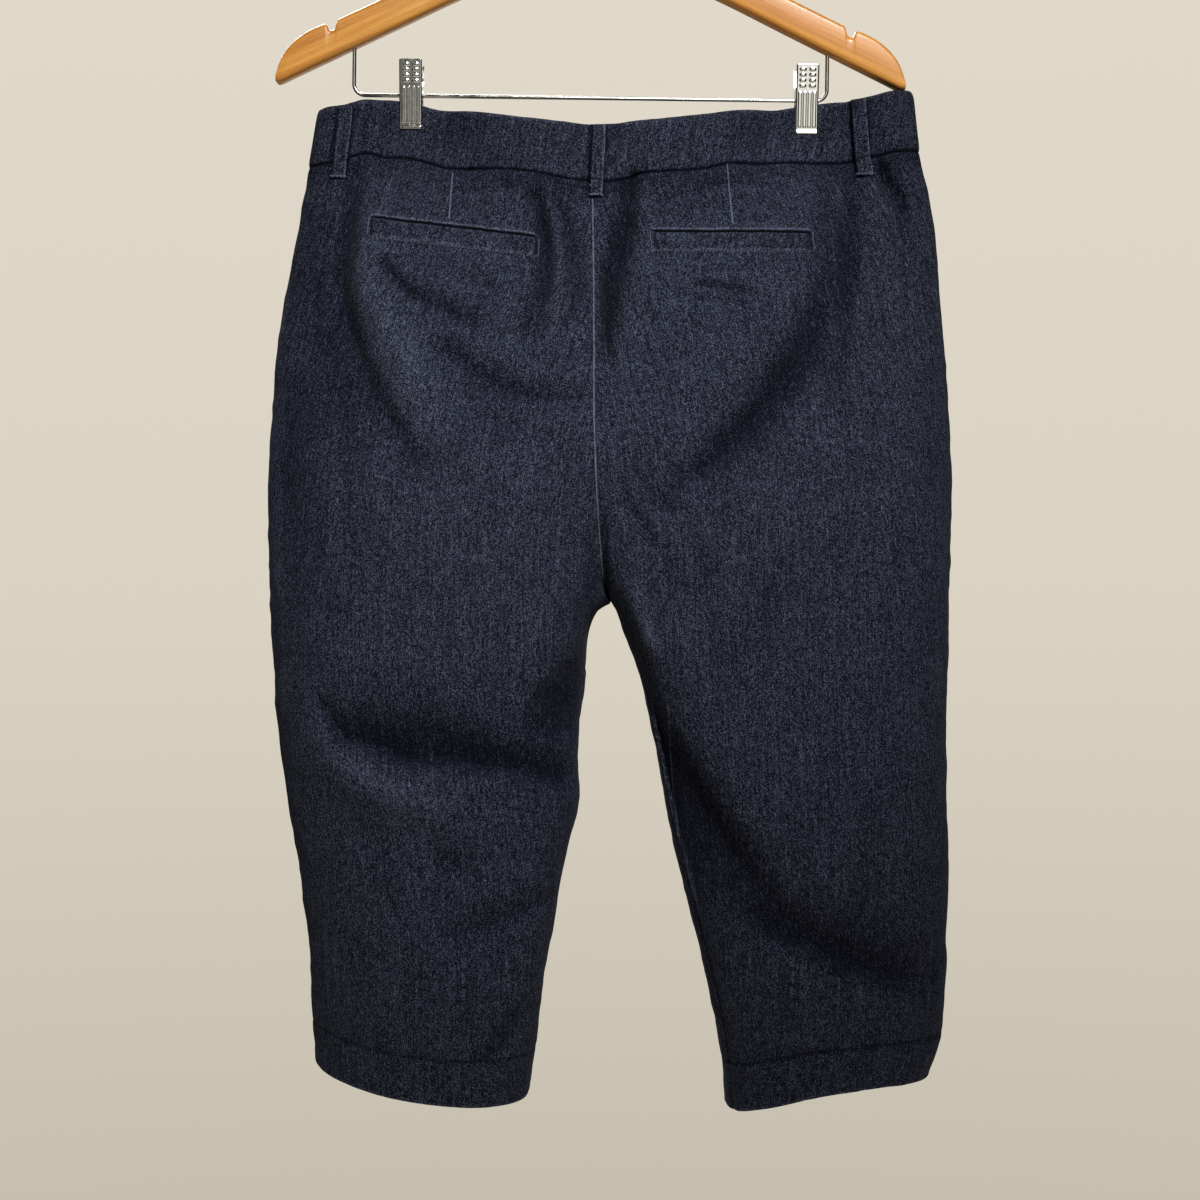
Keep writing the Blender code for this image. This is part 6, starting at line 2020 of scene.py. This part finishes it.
def floor():
    mesh = bpy.data.meshes.new("floor")
    angle = np.linspace(0, 2 * math.pi, FLOOR_SIDES, endpoint=False)
    points = [(FLOOR_RADIUS * math.cos(a), FLOOR_RADIUS * math.sin(a), FLOOR_LEVEL) for a in angle]
    mesh.from_pydata(points, [], [tuple(range(FLOOR_SIDES))])
    s = Shader("floor", Roughness=0.9, Emission_Color=(*FLOOR_TONE, 1), Emission_Strength=FLOOR_GLOW)
    s.colour(s.ramp(s.noise(s.place((3, 3, 3))), (0.3, FLOOR_TONE), (0.7, FLOOR_PALE)))
    mesh.materials.append(s.material)
    add_object("floor", mesh)


BACKDROP = [(0.0, srgb(195, 187, 172)), (0.5, srgb(218, 210, 195)), (1.0, srgb(225, 218, 202))]
BACKDROP_REACH = 0.35  # of the way up and down, where its end tones are reached
ROOM_LIGHT, ROOM_SHINE = 0.08, 0.6  # as light on matt things, and as reflected in shiny ones
ROOM = [  # from the floor up to the ceiling
    (0.0, (0.05, 0.05, 0.04)),
    (0.22, (0.08, 0.08, 0.07)),
    (0.31, (0.85, 0.83, 0.75)),
    (1.0, (0.80, 0.78, 0.72)),
]
ROOM_ACROSS = [  # and from one wall to the other, with the dark furniture that chrome shows as stripes
    (0.0, (0.05, 0.05, 0.05)),
    (0.22, (0.04, 0.04, 0.04)),
    (0.28, (0.9, 0.88, 0.8)),
    (0.36, (1.0, 0.98, 0.87)),
    (0.41, (0.10, 0.10, 0.08)),
    (0.47, (0.10, 0.10, 0.08)),
    (0.53, (2.1, 2.1, 2.1)),
    (0.64, (2.2, 2.2, 2.2)),
    (0.71, (0.06, 0.06, 0.06)),
    (1.0, (0.05, 0.05, 0.05)),
]


def world():
    """A pale warm surround that is a little darker lower down, and a dimmer room for the light."""
    made = bpy.data.worlds.new("surround")
    bpy.context.scene.world = made
    made.use_nodes = True
    made.node_tree.nodes.clear()
    n = Nodes(made.node_tree)
    split = n.node("ShaderNodeSeparateXYZ")
    n.join(n.node("ShaderNodeTexCoord").outputs["Generated"], split.inputs["Vector"])

    def tone(axis, reach, stops):
        return n.ramp(n.spread(split.outputs[axis], -reach, reach), *stops)

    crossed = n.node("ShaderNodeVectorMath", operation="MULTIPLY")
    n.join(tone("Z", 1.0, ROOM), crossed.inputs[0])
    n.join(tone("X", 1.0, ROOM_ACROSS), crossed.inputs[1])
    seen, room = n.node("ShaderNodeBackground"), n.node("ShaderNodeBackground")
    n.join(tone("Z", BACKDROP_REACH, BACKDROP), seen.inputs["Color"])
    n.join(crossed.outputs["Vector"], room.inputs["Color"])
    ray, mix = n.node("ShaderNodeLightPath"), n.node("ShaderNodeMixShader")
    shine = n.spread(ray.outputs["Is Glossy Ray"], 0.0, 1.0, ROOM_LIGHT, ROOM_SHINE)
    n.join(shine, room.inputs["Strength"])
    n.join(ray.outputs["Is Camera Ray"], mix.inputs["Fac"])
    n.join(room.outputs["Background"], mix.inputs[1])
    n.join(seen.outputs["Background"], mix.inputs[2])
    n.join(mix.outputs["Shader"], n.node("ShaderNodeOutputWorld").inputs["Surface"])


LIGHTS = [  # name, place, aim, size, watts, spread in degrees, colour
    ("key", (0.26, -1.15, 0.50), (-0.03, 0.0, -0.45), (0.7, 0.6), 2.04, 28, (0.985, 0.96, 0.94)),
    ("front", (0.05, -1.25, -0.15), (0.0, 0.0, -0.35), (0.8, 0.6), 0.09, 120, (1.0, 0.95, 0.86)),
    ("low_left", (-0.50, -1.00, -0.50), (-0.16, 0.0, -0.78), (0.5, 0.5), 0.03, 44, (1.0, 0.94, 0.84)),
    ("behind", (-0.42, 1.10, 0.62), (0.0, 0.0, -0.52), (0.8, 0.7), 3.8, 62, (1.0, 0.98, 0.95)),
]


def lights():
    for name, place, target, size, watts, spread, colour in LIGHTS:
        data = bpy.data.lights.new(name, "AREA")
        data.shape, data.size, data.size_y = "RECTANGLE", *size
        data.energy, data.color, data.spread = watts, colour, math.radians(spread)
        obj = add_object(name, data)
        obj.location = place
        x, y, z = np.array(target) - np.array(place)
        obj.rotation_euler = (math.atan2(math.hypot(x, y), -z), 0, math.atan2(-x, y))


VIEW_AWAY, VIEW_LEVEL, SENSOR = 1.3, 0.55625, 36.0
VIEW_WIDE = 0.85032  # of the picture, at the hanger


def camera():
    data = bpy.data.cameras.new("camera")
    data.sensor_width = SENSOR
    data.lens = SENSOR * VIEW_AWAY / VIEW_WIDE
    obj = add_object("camera", data)
    obj.location = (GARMENT_X * MM, -VIEW_AWAY, -VIEW_LEVEL)
    obj.rotation_euler = (math.pi / 2, 0, 0)
    bpy.context.scene.camera = obj
    bpy.context.scene.view_settings.view_transform = "Standard"


TRIMS_DOWN_TO = CROTCH - 6.0  # rows down to here carry the trims, which may cross the centre seam


def both_halves(cloths, bands, levels, name):
    """One cloth over the band and the tops of both panels, from side to side."""
    above = levels <= TRIMS_DOWN_TO
    halves = [cloths[f"{name}_left"].rows(above), cloths[f"{name}_right"].rows(above)]
    return stacked(joined(bands[f"{name}_left"], bands[f"{name}_right"]), joined(*halves))


def main():
    camera()
    world()
    lights()
    floor()
    levels = fine_levels()
    band_levels = np.linspace(BAND_TOP, BAND_SEAM, BAND_ROWS)
    cloths = {panel: bare_cloth(panel, levels) for panel in PANELS}
    bands = {panel: bare_cloth(panel, band_levels) for panel in PANELS}
    share_directions(cloths, bands, levels)
    cloths = {panel: panel_cloth(panel, levels, cloth) for panel, cloth in cloths.items()}
    bands = {panel: band_cloth(panel, cloth) for panel, cloth in bands.items()}
    panel_pieces(cloths, levels)
    band_pieces(bands)
    back, front = (both_halves(cloths, bands, levels, name) for name in ("back", "front"))
    loop_pieces(back, front)
    welt_pieces(back)
    leg = cloths["back_right"].rows(levels >= LEG_START)
    raised_lines(back, leg.turned_round())
    sew_welts(back)
    sew_loops(back, front)
    fly_pieces(front)
    sew_buttonhole(front)
    button_piece(front)
    hanger_arms()
    hanger_wires()
    clip_pieces()


main()
